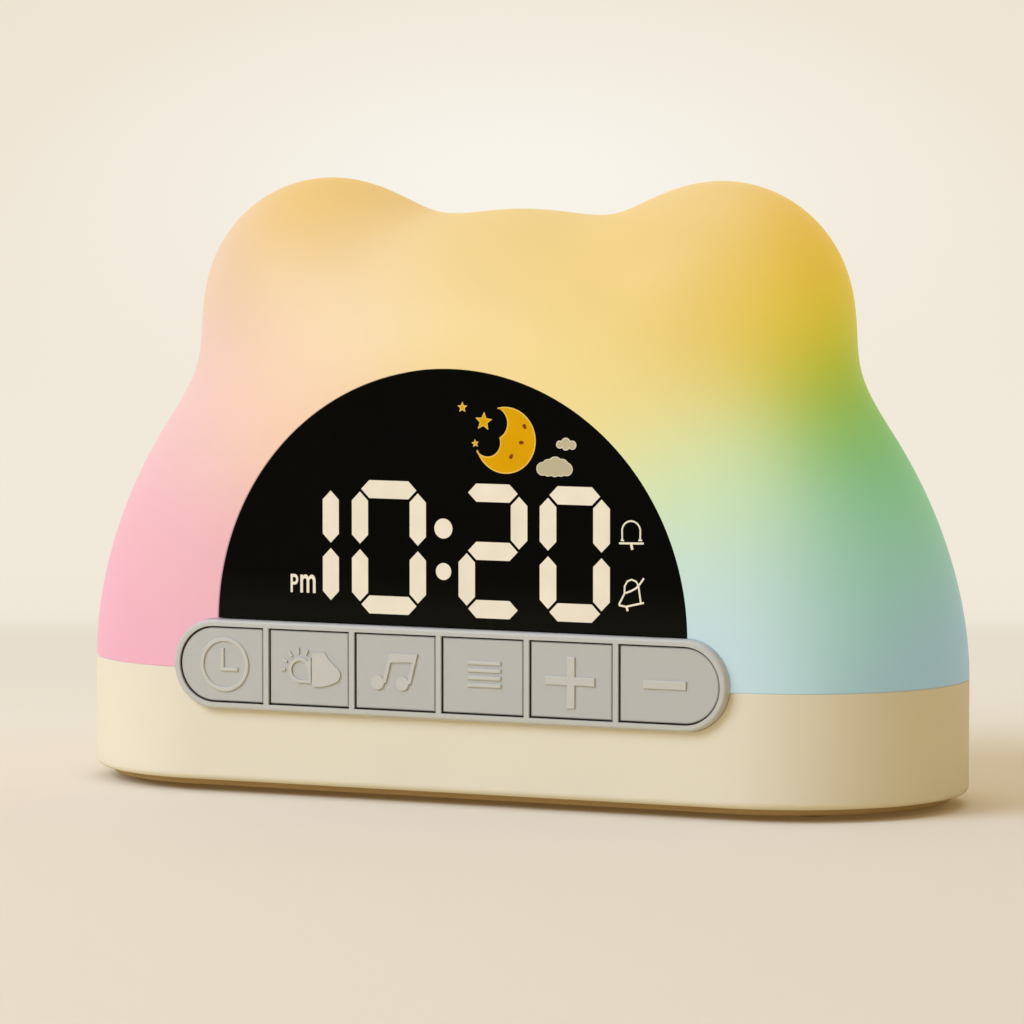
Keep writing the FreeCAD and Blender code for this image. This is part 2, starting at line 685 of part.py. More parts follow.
def key_span(index):
    """Return the two ends of a key's window along X."""
    places = [-BAR_HALF - 1 + DIVIDER / 2] + divider_places() + [BAR_HALF + 1 - DIVIDER / 2]
    return places[index] + DIVIDER / 2, places[index + 1] - DIVIDER / 2


def key_middle(index):
    """Return where a key's post stands along X."""
    start, end = key_span(index)
    start = max(start, -BAR_HALF + BEZEL_BORDER)
    end = min(end, BAR_HALF - BEZEL_BORDER)
    return (start + end) / 2


def button_bezel():
    """Return the stadium frame with six windows, rear ribs and board bosses."""
    plate = bar_prism(0, BAR_FRONT, PLATE_BACK)
    rim = [e for e in plate.Edges if e.BoundBox.YMax < BAR_FRONT + 0.01]
    plate = plate.makeFillet(0.7, rim)
    window = bar_prism(BEZEL_BORDER, BAR_FRONT - 1, PLATE_BACK + 1)
    bars = [box(x - DIVIDER / 2, x + DIVIDER / 2, BAR_FRONT - 1, 0, 0, 60) for x in divider_places()]
    plate = plate.cut(cut(window, bars))
    flange_y = FRONT + WALL + 0.3
    back = flange_y + 1.9
    sleeve = bar_prism(0, PLATE_BACK, back)
    inner = bar_prism(BEZEL_WALL, PLATE_BACK - 1, back + 1)
    low = BAR_Z - BEZEL_FLANGE_DROP
    flange = box(-KEY_BOARD_HALF, KEY_BOARD_HALF, flange_y, back, low, BAR_TOP_Z - 0.05)
    flange = flange.common(plan_prism(WALL + POCKET_GAP, RIM_Z, BAR_TOP_Z, shorter=1.0))
    frame = join([sleeve, flange]).cut(inner)
    bosses = [rod_back(x, z, back - 0.1, KEY_BOARD_FRONT, 1.9) for x, z in key_board_screw_places()]
    ribs = []
    for x in divider_places():
        rib = box(x - RIB / 2, x + RIB / 2, PLATE_BACK - 0.1, KEY_BOARD_FRONT - 0.1, 0, 60)
        ribs.append(rib.common(bar_prism(BEZEL_WALL / 2, PLATE_BACK - 0.1, KEY_BOARD_FRONT)))
    bezel = join([plate, frame] + bosses + ribs)
    hole = SHANK_RADIUS + SCREW_GAP
    tools = [rod_back(x, z, back - 1.5, KEY_BOARD_FRONT + 1, hole) for x, z in key_board_screw_places()]
    return cut(bezel, tools)


def key_board_screw_places():
    """Return where the key board's four screws stand, as (x, z)."""
    x = BAR_HALF + KEY_BOARD_SCREW_STEP
    return [(side * x, BAR_Z + dz) for side in (-1, 1) for dz in (-2.2, 4.4)]


def key_board():
    """Return the board behind the keys."""
    half = KEY_BOARD_HALF_HEIGHT
    ends = (-KEY_BOARD_HALF, KEY_BOARD_HALF)
    board = box(*ends, KEY_BOARD_FRONT, KEY_BOARD_BACK, BAR_Z - half, BAR_Z + half)
    y = KEY_BOARD_FRONT - 1
    return cut(board, [rod_back(x, z, y, y + 4, SHANK_RADIUS + 0.1) for x, z in key_board_screw_places()])


def switch_cans():
    """Return the six push switches on the key board."""
    cans = []
    half = SWITCH / 2
    for i in range(6):
        x = key_middle(i)
        can = box(x - half, x + half, SWITCH_FRONT, KEY_BOARD_FRONT, BAR_Z - half, BAR_Z + half)
        bore = rod_back(x, BAR_Z, SWITCH_FRONT - 1, SWITCH_FRONT + 2.1, PLUNGER_RADIUS + PLUNGER_GAP)
        cans.append(can.cut(bore))
    return group(cans)


def plunger(index):
    """Return the stem of a switch, which travels with its key."""
    return rod_back(key_middle(index), BAR_Z, POST_END, SWITCH_FRONT + 1.3, PLUNGER_RADIUS)


def key_cap(index, reliefs):
    """Return one key with its flange, its post and its raised sign."""
    start, end = key_span(index)
    room = box(start + KEY_GAP, end - KEY_GAP, BAR_FRONT - 1, 0, 0, 60)
    inset = BEZEL_BORDER + KEY_GAP
    cap = bar_prism(inset, KEY_FACE, FLANGE_FRONT + 0.1).common(room)
    rim = [e for e in cap.Edges if e.BoundBox.YMax < KEY_FACE + 0.01]
    cap = cap.makeChamfer(0.25, rim)
    flange = bar_prism(inset - KEY_LIP, FLANGE_FRONT, FLANGE_FRONT + KEY_FLANGE).common(room)
    post = rod_back(key_middle(index), BAR_Z, FLANGE_FRONT + KEY_FLANGE - 0.1, POST_END, 2.4)
    return join([cap, flange, post] + reliefs)


def softened(sign):
    """Bevel the front edges of a raised sign."""
    rim = [e for e in sign.Edges if e.BoundBox.YMax < BAR_FRONT + 0.01]
    return sign.makeChamfer(SIGN_EDGE, rim)


def raised(points):
    """Return a raised sign from (x, z) corners."""
    return polygon_prism(points, BAR_FRONT, KEY_FACE + 0.1)


def raised_bar(x, z, half_x, half_z):
    """Return a raised straight stroke."""
    return box(x - half_x, x + half_x, BAR_FRONT, KEY_FACE + 0.1, z - half_z, z + half_z)


def raised_disc(x, z, radius):
    """Return a raised round."""
    return rod_back(x, z, BAR_FRONT, KEY_FACE + 0.1, radius)


def raised_ring(x, z, radius, stroke):
    """Return a raised ring."""
    return raised_disc(x, z, radius).cut(rod_back(x, z, BAR_FRONT - 1, KEY_FACE + 1, radius - stroke))


def clock_sign():
    """Return the clock face sign of the first key."""
    x = key_middle(0) + 0.65
    z = BAR_Z
    ring = raised_ring(x, z, 5.55, STROKE + 0.1)
    hands = join([
        raised_bar(x - 0.45, z + 1.05, STROKE / 2, 2.35),
        raised_bar(x + 1.15, z - 0.95, 1.95, STROKE / 2),
    ])
    return [softened(ring), softened(hands)]


def day_night_sign():
    """Return the sun and dusk sign of the second key."""
    x = key_middle(1) - 2.0
    z = BAR_Z - 0.4
    ring = raised_ring(x, z, 2.55, STROKE - 0.1)
    quarter = box(x, x + 9, BAR_FRONT - 1, KEY_FACE + 1, z - 9, z)
    arc = ring.cut(quarter).common(box(x - 9, x + 2.2, BAR_FRONT - 1, KEY_FACE + 1, z - 9, z + 9))
    sun = join([arc, raised_bar(x + 1.1, z - 2.25, 1.3, 0.3), raised_bar(x + 2.2, z, 0.3, 2.6)])
    rays = []
    for degrees in (68, 96, 124, 152, 180):
        angle = math.radians(degrees)
        ray = raised_bar(0, 0, 0.55, 0.25)
        ray.rotate(Vector(0, 0, 0), Vector(0, 1, 0), -degrees)
        ray.translate(Vector(x + 3.9 * math.cos(angle), 0, z + 3.9 * math.sin(angle)))
        rays.append(ray)
    return [sun, dusk_shape(x + 2.75, z)] + rays


def dusk_shape(x, z):
    """Return the solid half of the day and night sign from its straight left edge."""
    def at(dx, dz):
        return Vector(x + dx, BAR_FRONT, z + dz)
    edges = [
        Part.makeLine(at(0, -3.2), at(0, 3.55)),
        Part.makeLine(at(0, 3.55), at(2.8, 3.65)),
        Part.Arc(at(2.8, 3.65), at(4.3, 1.85), at(6.0, 0.4)).toShape(),
        Part.Arc(at(6.0, 0.4), at(6.3, -1.1), at(5.3, -2.2)).toShape(),
        Part.Arc(at(5.3, -2.2), at(3.1, -3.0), at(0, -3.2)).toShape(),
    ]
    return Part.Face(Part.Wire(edges)).extrude(Vector(0, KEY_SET_BACK + 0.1, 0))


def music_sign():
    """Return the beamed notes sign of the third key."""
    x = key_middle(2) + 0.35
    low = BAR_Z - 2.15
    signs = []
    for foot in (x - 2.76, x + 2.76):
        start = foot - STROKE / 2
        end = foot + STROKE / 2
        stem = [(start, low), (end, low), (end + 1.55, low + 6), (start + 1.55, low + 6)]
        signs.append(join([raised(stem), raised_disc(foot - 1.45, low, 1.4)]))
    beam = [(x - 2.05, low + 4.1), (x + 4.25, low + 4.4), (x + 4.65, low + 6), (x - 1.55, low + 6)]
    return [join(signs + [raised(beam)])]


def menu_sign():
    """Return the four-line sign of the fourth key."""
    x = key_middle(3) + 0.4
    z = BAR_Z + 0.45
    return [softened(raised_bar(x, z + dz, 3.7, 0.4)) for dz in (-2.25, -0.75, 0.75, 2.25)]


def plus_sign():
    """Return the plus sign of the fifth key."""
    x = key_middle(4)
    upright = raised_bar(x, BAR_Z - 0.4, SIGN_BAR, 5.15)
    return [softened(join([raised_bar(x - 0.2, BAR_Z - 0.1, 5.4, SIGN_BAR), upright]))]


def minus_sign():
    """Return the minus sign of the sixth key."""
    return [softened(raised_bar(key_middle(5) - 0.9, BAR_Z, 4.6, SIGN_BAR))]


def main_board():
    """Return the controller board under the deck."""
    z = MAIN_BOARD_Z
    half = MAIN_BOARD_WIDTH / 2
    front = MAIN_BOARD_BACK - MAIN_BOARD_DEPTH
    board = box(MAIN_BOARD_X - half, MAIN_BOARD_X + half, front, MAIN_BOARD_BACK, z, z + BOARD)
    return cut(board, [rod(x, y, z - 1, z + 3, SHANK_RADIUS + 0.1) for x, y in main_board_places()])


def board_chips():
    """Return the chips that stand on the controller board."""
    z = MAIN_BOARD_Z + BOARD
    x = MAIN_BOARD_X
    y = MAIN_BOARD_BACK - MAIN_BOARD_DEPTH / 2
    chips = [box(x - 5, x + 5, y - 9, y + 1, z, z + 1.4)]
    chips += [box(x + dx - 2.5, x + dx + 2.5, y + 1.5, y + 5.5, z, z + 1.5) for dx in (-11, 11)]
    chips.append(box(x - 12, x - 8.6, y - 14, y - 9, z, z + 0.9))
    return group(chips)


def board_connectors():
    """Return the wire connectors that stand on the controller board."""
    z = MAIN_BOARD_Z + BOARD
    rows = (MAIN_BOARD_BACK - MAIN_BOARD_DEPTH + 5, MAIN_BOARD_BACK - 11.5)
    places = [(MAIN_BOARD_X + dx, y) for dx in (-3, 9) for y in rows]
    plugs = []
    for x, y in places:
        plug = box(x - 3.5, x + 3.5, y - 2.5, y + 2.5, z, z + 5.5)
        plugs.append(plug.cut(box(x - 2.7, x + 2.7, y - 1.7, y + 1.7, z + 1.2, z + 6)))
    return group(plugs)


def usb_socket():
    """Return the USB-C socket with its tongue."""
    y0 = END_RADIUS - 8.0
    y1 = END_RADIUS - 0.7
    shell = socket_shape(4.47, SOCKET_HALF_HEIGHT, y0, y1)
    shell = shell.cut(socket_shape(4.15, SOCKET_HALF_HEIGHT - 0.32, y0 + 1.1, y1 + 1))
    z = SOCKET_Z
    tongue = box(MAIN_BOARD_X - 3.35, MAIN_BOARD_X + 3.35, y0 + 1.0, y1 - 1.3, z - 0.35, z + 0.35)
    return join([shell, tongue])


def revolved(points):
    """Return a solid of revolution from (radius, z) corners about the loudspeaker's axis."""
    corners = [Vector(SPEAKER_X + radius, 0, z) for radius, z in points]
    face = Part.Face(Part.makePolygon(corners + corners[:1]))
    return face.revolve(Vector(SPEAKER_X, 0, 0), Vector(0, 0, 1), 360)


def speaker_basket():
    """Return the loudspeaker's frame, which faces down on its seat."""
    z = COVER_TOP_Z + 1.4
    rim = SPEAKER_RADIUS
    points = [(rim, z), (rim, z + 1.2), (rim - 2.6, z + 1.6), (rim - 8, z + 6.8), (0.0, z + 6.8)]
    points += [(0.0, z + 6.0), (rim - 8.4, z + 6.0), (rim - 3.2, z + 1.0), (rim - 2.6, z)]
    return revolved(points)


def speaker_cone():
    """Return the loudspeaker's cone with its dust cap."""
    z = COVER_TOP_Z + 1.4
    edge = SPEAKER_RADIUS - 3.3
    points = [(edge, z + 0.3), (edge, z + 0.6), (6.6, z + 4.6), (5.0, z + 3.6), (2.5, z + 2.9)]
    points += [(0.0, z + 2.6), (0.0, z + 2.3), (2.7, z + 2.6), (5.3, z + 3.3), (6.6, z + 4.2)]
    return revolved(points)


def speaker_magnet():
    """Return the loudspeaker's magnet."""
    z = COVER_TOP_Z + 8.2
    return rod(SPEAKER_X, 0, z, z + 5.6, SPEAKER_RADIUS - 8)


def battery_pack():
    """Return the backup battery."""
    half_x = BATTERY_LENGTH / 2
    half_y = BATTERY_DEPTH / 2
    z = COVER_TOP_Z
    pack = box(BATTERY_X - half_x, BATTERY_X + half_x, -half_y, half_y, z, z + BATTERY_HEIGHT)
    edges = [e for e in pack.Edges if e.BoundBox.XLength > 1]
    return pack.makeFillet(3.0, edges)


def screws_down(places, z, length):
    """Return screws whose heads look up."""
    return group(screw((x, y, z), (0, 0, -1), length) for x, y in places)


def screws_up(places, z, length):
    """Return screws whose heads look down."""
    return group(screw((x, y, z), (0, 0, 1), length) for x, y in places)


def screws_forward(places, y, length):
    """Return screws whose heads look to the back."""
    return group(screw((x, y, z), (0, -1, 0), length) for x, z in places)


def export(name, shape):
    """Write one piece, moved so that the whole clock is centred on the origin."""
    shape = shape.copy()
    shape.translate(Vector(0, MIDDLE_Y_SHIFT, 0))
    shape.exportStep("parts/" + name + ".step")


def build():
    """Make every piece and write it to its own file."""
    os.makedirs("parts", exist_ok=True)
    export("night_light_shade", night_light_shade())
    export("base_housing", base_housing())
    export("bottom_cover", bottom_cover())
    export("rubber_feet", rubber_feet())
    export("cover_screws", screws_up(cover_screw_places(), COVER_FACE_Z + HEAD_HEIGHT + 0.1, 5.0))
    export("inner_deck", inner_deck())
    export("deck_screws", screws_down(deck_screw_places(), DECK_TOP_Z, 8.0))
    export("light_board", light_board())
    export("light_board_screws", screws_down(light_board_places(), LIGHT_BOARD_Z + BOARD, 4.5))
    export("colour_leds", colour_leds())
    export("display_lens", display_lens())
    export("display_light_box", display_light_box())
    export("segment_diffusers", segment_diffusers())
    export("icon_diffusers", icon_diffusers())
    export("display_board", display_board())
    export("display_leds", display_leds())
    export("display_screws", screws_forward(display_screw_places(), DISPLAY_BACK + SLIP + UPRIGHT, 9.0))
    export("button_bezel", button_bezel())
    export("key_board", key_board())
    export("key_board_screws", screws_forward(key_board_screw_places(), KEY_BOARD_BACK, 4.0))
    export("switch_cans", switch_cans())
    signs = {
        "clock": clock_sign(),
        "daynight": day_night_sign(),
        "music": music_sign(),
        "menu": menu_sign(),
        "plus": plus_sign(),
        "minus": minus_sign(),
    }
    for index, (name, reliefs) in enumerate(signs.items()):
        export("key_" + name, key_cap(index, reliefs))
        export("plunger_" + name, plunger(index))
    export("main_board", main_board())
    export("main_board_screws", screws_up(main_board_places(), MAIN_BOARD_Z, 6.0))
    export("board_chips", board_chips())
    export("board_connectors", board_connectors())
    export("usb_socket", usb_socket())
    export("speaker_basket", speaker_basket())
    export("speaker_cone", speaker_cone())
    export("speaker_magnet", speaker_magnet())
    export("battery_pack", battery_pack())


build()
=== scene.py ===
"""Bear-eared night light alarm clock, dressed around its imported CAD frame.

Sizes in the classes are in millimetres in the clock's own frame: the front looks along -Y
and the feet stand on Z = 0. Meshes are made in metres.
"""

import logging
import math
from dataclasses import dataclass
from enum import Enum
from typing import Callable, Iterable, Optional, Sequence, Union

import bpy
import numpy as np
from mathutils import Matrix, Vector


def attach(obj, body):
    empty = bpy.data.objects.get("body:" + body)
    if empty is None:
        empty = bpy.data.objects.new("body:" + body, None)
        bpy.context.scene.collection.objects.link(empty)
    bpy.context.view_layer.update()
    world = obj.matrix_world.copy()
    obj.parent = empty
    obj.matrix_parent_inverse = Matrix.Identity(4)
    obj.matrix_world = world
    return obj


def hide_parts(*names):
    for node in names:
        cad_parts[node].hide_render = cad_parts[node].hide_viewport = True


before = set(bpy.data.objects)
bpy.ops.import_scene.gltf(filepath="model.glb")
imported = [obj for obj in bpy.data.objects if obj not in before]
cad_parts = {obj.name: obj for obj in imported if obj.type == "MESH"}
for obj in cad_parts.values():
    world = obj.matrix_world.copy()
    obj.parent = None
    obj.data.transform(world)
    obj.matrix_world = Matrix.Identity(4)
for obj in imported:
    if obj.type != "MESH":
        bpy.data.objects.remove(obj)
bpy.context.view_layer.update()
MM = 0.001
Triple = tuple[float, float, float]
Turned = tuple[float, float, float, float]
Point = tuple[float, float]
Colour = Triple
log = logging.getLogger("clock_scene")


def linear(red: int, green: int, blue: int) -> Colour:
    """Turn display values, of which 255 is white, into linear light.

    Args:
        red: Red as shown on a display.
        green: Green as shown on a display.
        blue: Blue as shown on a display.

    Returns:
        The colour in linear light.
    """
    parts = []
    for value in (red, green, blue):
        share = value / 255
        parts.append(share / 12.92 if share <= 0.04045 else ((share + 0.055) / 1.055) ** 2.4)
    return (parts[0], parts[1], parts[2])


class Term:
    """A shader socket that takes part in Python arithmetic."""

    def __init__(self, shader: "Shader", socket: bpy.types.NodeSocket) -> None:
        """Keep the socket and the shader that it belongs to."""
        self.shader = shader
        self.socket = socket

    def __add__(self, other: "Number") -> "Term":
        """Return self + other."""
        return self.shader.maths("ADD", self, other)

    def __radd__(self, other: "Number") -> "Term":
        """Return other + self."""
        return self.shader.maths("ADD", other, self)

    def __sub__(self, other: "Number") -> "Term":
        """Return self - other."""
        return self.shader.maths("SUBTRACT", self, other)

    def __rsub__(self, other: "Number") -> "Term":
        """Return other - self."""
        return self.shader.maths("SUBTRACT", other, self)

    def __mul__(self, other: "Number") -> "Term":
        """Return self * other."""
        return self.shader.maths("MULTIPLY", self, other)

    def __rmul__(self, other: "Number") -> "Term":
        """Return other * self."""
        return self.shader.maths("MULTIPLY", other, self)

    def __truediv__(self, other: "Number") -> "Term":
        """Return self / other."""
        return self.shader.maths("DIVIDE", self, other)

    def __rtruediv__(self, other: "Number") -> "Term":
        """Return other / self."""
        return self.shader.maths("DIVIDE", other, self)

    def __lt__(self, other: "Number") -> "Term":
        """Return 1 where self is less than other, else 0."""
        return self.shader.maths("LESS_THAN", self, other)

    def __gt__(self, other: "Number") -> "Term":
        """Return 1 where self is more than other, else 0."""
        return self.shader.maths("GREATER_THAN", self, other)


Number = Union[float, Term]
Value = Union[float, Term, Sequence[float], bpy.types.NodeSocket]


class Shader:
    """One material's node tree, with a principled surface ready to be fed."""

    def __init__(self, name: str) -> None:
        """Start an empty tree with a principled surface and its output."""
        self.material = bpy.data.materials.new(name)
        self.material.use_nodes = True
        self.tree = self.material.node_tree
        self.tree.nodes.clear()
        self.surface = self.node("ShaderNodeBsdfPrincipled")
        self.output = self.node("ShaderNodeOutputMaterial", None, {"Surface": self.surface.outputs[0]})

    def node(
        self,
        kind: str,
        settings: Optional[dict[str, object]] = None,
        values: Optional[dict[Union[int, str], Value]] = None,
    ) -> bpy.types.Node:
        """Add one node.

        Args:
            kind: The node's type name.
            settings: Attributes that are set first.
            values: Numbers, colours or links for its input sockets.

        Returns:
            The new node.
        """
        made = self.tree.nodes.new(kind)
        for key, setting in (settings or {}).items():
            setattr(made, key, setting)
        for key, value in (values or {}).items():
            self.feed(made.inputs[key], value)
        return made

    def feed(self, socket: bpy.types.NodeSocket, value: Value) -> None:
        """Give a socket a number, a colour or a link.

        Args:
            socket: The input to fill.
            value: What it gets.
        """
        if isinstance(value, Term):
            value = value.socket
        if isinstance(value, bpy.types.NodeSocket):
            self.tree.links.new(value, socket)
        elif isinstance(value, (int, float)):
            socket.default_value = value
        else:
            parts = list(value)
            if socket.type == "RGBA" and len(parts) == 3:
                parts.append(1.0)
            socket.default_value = parts

    def maths(self, operation: str, *terms: Number) -> Term:
        """Add a Math node.

        Args:
            operation: The Math node's operation.
            terms: Its inputs in order.

        Returns:
            The result.
        """
        made = self.node("ShaderNodeMath", {"operation": operation}, dict(enumerate(terms)))
        return Term(self, made.outputs[0])

    def place(self) -> tuple[Term, Term, Term, bpy.types.NodeSocket]:
        """Return the object's own x, y and z in metres, and the same as a vector."""
        coordinates = self.node("ShaderNodeTexCoord").outputs["Object"]
        split = self.node("ShaderNodeSeparateXYZ", None, {0: coordinates})
        x, y, z = (Term(self, split.outputs[i]) for i in range(3))
        return x, y, z, coordinates

    def noise(self, scale: float, detail: float = 2.0) -> Term:
        """Return a soft noise between 0 and 1.

        Args:
            scale: Grains per metre.
            detail: Octaves.

        Returns:
            The noise value.
        """
        vector = self.node("ShaderNodeTexCoord").outputs["Object"]
        made = self.node("ShaderNodeTexNoise", None, {"Vector": vector, "Scale": scale, "Detail": detail})
        return Term(self, made.outputs["Fac"])

    def smooth(self, value: Term, low: float, high: float) -> Term:
        """Return a soft step.

        Args:
            value: What is tested.
            low: Where it starts to rise from 0.
            high: Where it reaches 1.

        Returns:
            The step's value.
        """
        settings = {"interpolation_type": "SMOOTHSTEP"}
        made = self.node("ShaderNodeMapRange", settings, {0: value, 1: low, 2: high})
        return Term(self, made.outputs[0])

    def mix(self, share: Number, first: Value, second: Value) -> bpy.types.NodeSocket:
        """Blend two colours.

        Args:
            share: 0 for the first, 1 for the second.
            first: A colour or its socket.
            second: A colour or its socket.

        Returns:
            The blended colour's socket.
        """
        settings = {"data_type": "RGBA", "blend_type": "MIX", "clamp_factor": True}
        made = self.node("ShaderNodeMix", settings, {0: share, 6: first, 7: second})
        return made.outputs[2]

    def scaled(self, colour: Value, share: Number) -> bpy.types.NodeSocket:
        """Return a colour made stronger or weaker by a number."""
        made = self.node("ShaderNodeVectorMath", {"operation": "SCALE"}, {0: colour, "Scale": share})
        return made.outputs[0]

    def summed(self, first: Value, second: Value) -> bpy.types.NodeSocket:
        """Return the sum of two colours."""
        made = self.node("ShaderNodeVectorMath", {"operation": "ADD"}, {0: first, 1: second})
        return made.outputs[0]

    def bump(self, height: Term, strength: float, distance: float) -> None:
        """Feed a height to the surface's normal.

        Args:
            height: The height value.
            strength: How strongly it shows.
            distance: The height of 1, in metres.
        """
        values = {"Height": height, "Strength": strength, "Distance": distance}
        made = self.node("ShaderNodeBump", None, values)
        self.feed(self.surface.inputs["Normal"], made.outputs[0])

    def give(self, values: dict[str, Value]) -> bpy.types.Material:
        """Fill the principled surface's sockets.

        Args:
            values: Socket names and what they get.

        Returns:
            The finished material.
        """
        for key, value in values.items():
            self.feed(self.surface.inputs[key], value)
        return self.material


@dataclass(frozen=True)
class MouldedPlastic:
    """Satin injection-moulded plastic with a fine spark-eroded grain."""

    name: str
    colour: Colour
    roughness: float = 0.48
    grain: float = 2600.0
    bump: float = 0.12
    variation: float = 0.03

    def material(self) -> bpy.types.Material:
        """Return the material with its grain, faint mottle and roughness change."""
        shader = Shader(self.name)
        mottle = shader.noise(28.0, 3.0)
        grain = shader.noise(self.grain, 2.0)
        darker = [part * (1 - 2 * self.variation) for part in self.colour]
        shader.bump(grain, self.bump, 0.00006)
        tint = shader.mix(mottle, darker, self.colour)
        rough = self.roughness - 0.05 + mottle * 0.06 + grain * 0.04
        return shader.give({"Base Color": tint, "Roughness": rough, "Specular IOR Level": 0.35})


@dataclass(frozen=True)
class KeyPlastic:
    """Grey plastic of the keys and their bezel, with paler sign tops and painted shade darkening the gaps.
    """

    name: str
    colour: Colour
    sign_colour: Colour
    # Dark brown painted into the gaps as shade.
    gap_shade: Colour = linear(72, 62, 54)
    sign_depth: float = -36.2
    gap_depth: float = -35.9
    half_straight: float = 52.2
    bar_z: float = 26.6
    gap_radius: float = 8.1
    gap_shade_rate: float = 4.0

    def material(self) -> bpy.types.Material:
        """Return the material with the sign tops told apart by their depth, and painted shade in the gaps
        that darkens the deeper they go.
        """
        shader = Shader(self.name)
        x, y, z, _ = shader.place()
        raised = y < self.sign_depth * MM
        past = shader.maths("MAXIMUM", shader.maths("ABSOLUTE", x) - self.half_straight * MM, 0.0)
        lift = z - self.bar_z * MM
        inside = past * past + lift * lift < (self.gap_radius * MM) ** 2
        # Painted shade: inside the bar's outline, surfaces behind the gap depth turn dark brown the deeper
        # they lie.
        deep = inside * (y - self.gap_depth * MM) * (self.gap_shade_rate / MM)
        mottle = shader.noise(60.0, 3.0)
        grain = shader.noise(2400.0)
        darker = [part * 0.94 for part in self.colour]
        tint = shader.mix(raised, shader.mix(mottle, darker, self.colour), self.sign_colour)
        tint = shader.mix(deep, tint, self.gap_shade)
        shader.bump(grain, 0.12, 0.00006)
        rough = 0.46 + mottle * 0.08
        return shader.give({"Base Color": tint, "Roughness": rough, "Specular IOR Level": 0.35})


@dataclass(frozen=True)
class SmokedLens:
    """Near-black gloss window over the lamps."""

    name: str
    colour: Colour
    foot_reflection_colour: Colour
    foot_top: float = 46.0
    foot_height: float = 12.0

    def material(self) -> bpy.types.Material:
        """Return the material with faint polishing marks and a painted reflection that makes it paler
        towards its foot.
        """
        shader = Shader(self.name)
        _, _, z, _ = shader.place()
        haze = shader.noise(45.0, 4.0)
        tint = shader.mix(haze, self.colour, [part * 1.4 for part in self.colour])
        # Painted reflection: the window turns paler towards its foot.
        foot = (self.foot_top * MM - z) / (self.foot_height * MM)
        tint = shader.mix(foot, tint, self.foot_reflection_colour)
        rough = 0.2 + haze * 0.08
        shader.bump(shader.noise(700.0), 0.02, 0.00004)
        return shader.give({"Base Color": tint, "Roughness": rough, "Specular IOR Level": 0.02})


@dataclass(frozen=True)
class LitMark:
    """A lamp, or a lamp-lit or printed mark on the window."""

    name: str
    colour: Colour
    lit: float

    def material(self) -> bpy.types.Material:
        """Return the material with a slight unevenness in its light."""
        shader = Shader(self.name)
        patch = shader.noise(180.0, 2.0)
        glow = shader.scaled(self.colour, 0.9 * self.lit + patch * 0.12 * self.lit)
        body = shader.scaled(self.colour, 0.9 * (1 - self.lit) + patch * 0.1)
        values = {"Base Color": body, "Emission Color": glow, "Emission Strength": 1.0}
        values.update({"Roughness": 0.5, "Specular IOR Level": 0.05})
        return shader.give(values)


@dataclass(frozen=True)
class BareMetal:
    """Plated or rolled metal of the hidden hardware."""

    name: str
    colour: Colour
    roughness: float = 0.32
    marks_scale: Triple = (300.0, 2600.0, 900.0)

    def material(self) -> bpy.types.Material:
        """Return the material with its rolling marks."""
        shader = Shader(self.name)
        *_, vector = shader.place()
        stretched = shader.node("ShaderNodeMapping", None, {"Vector": vector, "Scale": self.marks_scale})
        marks = shader.node("ShaderNodeTexNoise", None, {"Vector": stretched.outputs[0], "Scale": 1.0})
        streak = Term(shader, marks.outputs["Fac"])
        tint = shader.mix(streak, [part * 0.85 for part in self.colour], self.colour)
        rough = self.roughness - 0.06 + streak * 0.14
        shader.bump(streak, 0.08, 0.00003)
        return shader.give({"Base Color": tint, "Roughness": rough, "Metallic": 1.0})


class GlowZone(Enum):
    """The night light's colour zones: x and z of the middle, then the tint as displayed."""

    ROSE_FOOT = (-74.0, 34.0, 246, 180, 203)
    ROSE_SIDE = (-56.0, 54.0, 246, 187, 200)
    BLUSH_NECK = (-54.0, 77.0, 242, 201, 205)
    BLUSH_EAR = (-60.0, 104.0, 236, 208, 184)
    HONEY_LEFT = (-36.0, 122.0, 238, 196, 106)
    PEACH_LEFT = (-34.0, 80.0, 251, 212, 180)
    CREAM_LEFT = (-24.0, 100.0, 246, 221, 180)
    BUTTER_TOP = (4.0, 116.0, 239, 208, 137)
    BUTTER_MIDDLE = (6.0, 92.0, 250, 222, 156)
    AMBER_RIGHT = (42.0, 114.0, 240, 212, 160)
    AMBER_CREASE = (38.0, 100.0, 236, 197, 80)
    GOLD_EAR = (62.0, 100.0, 266, 234, 74)
    APRICOT_EAR = (68.0, 114.0, 243, 187, 54)
    CREAM_RIGHT = (32.0, 86.0, 250, 230, 158)
    LIME_NECK = (75.0, 85.0, 110, 186, 0)
    LEAF_SIDE = (86.0, 66.0, 132, 206, 138)
    MINT = (47.0, 65.0, 213, 241, 190)
    SEA = (76.0, 50.0, 162, 212, 196)
    ICE = (48.0, 42.0, 204, 228, 240)
    SKY_FOOT = (92.0, 34.0, 162, 193, 210)

    def middle(self) -> Point:
        """Return the zone's place in metres."""
        return self.value[0] * MM, self.value[1] * MM

    def tint(self) -> Colour:
        """Return the zone's colour in linear light."""
        return linear(*self.value[2:])


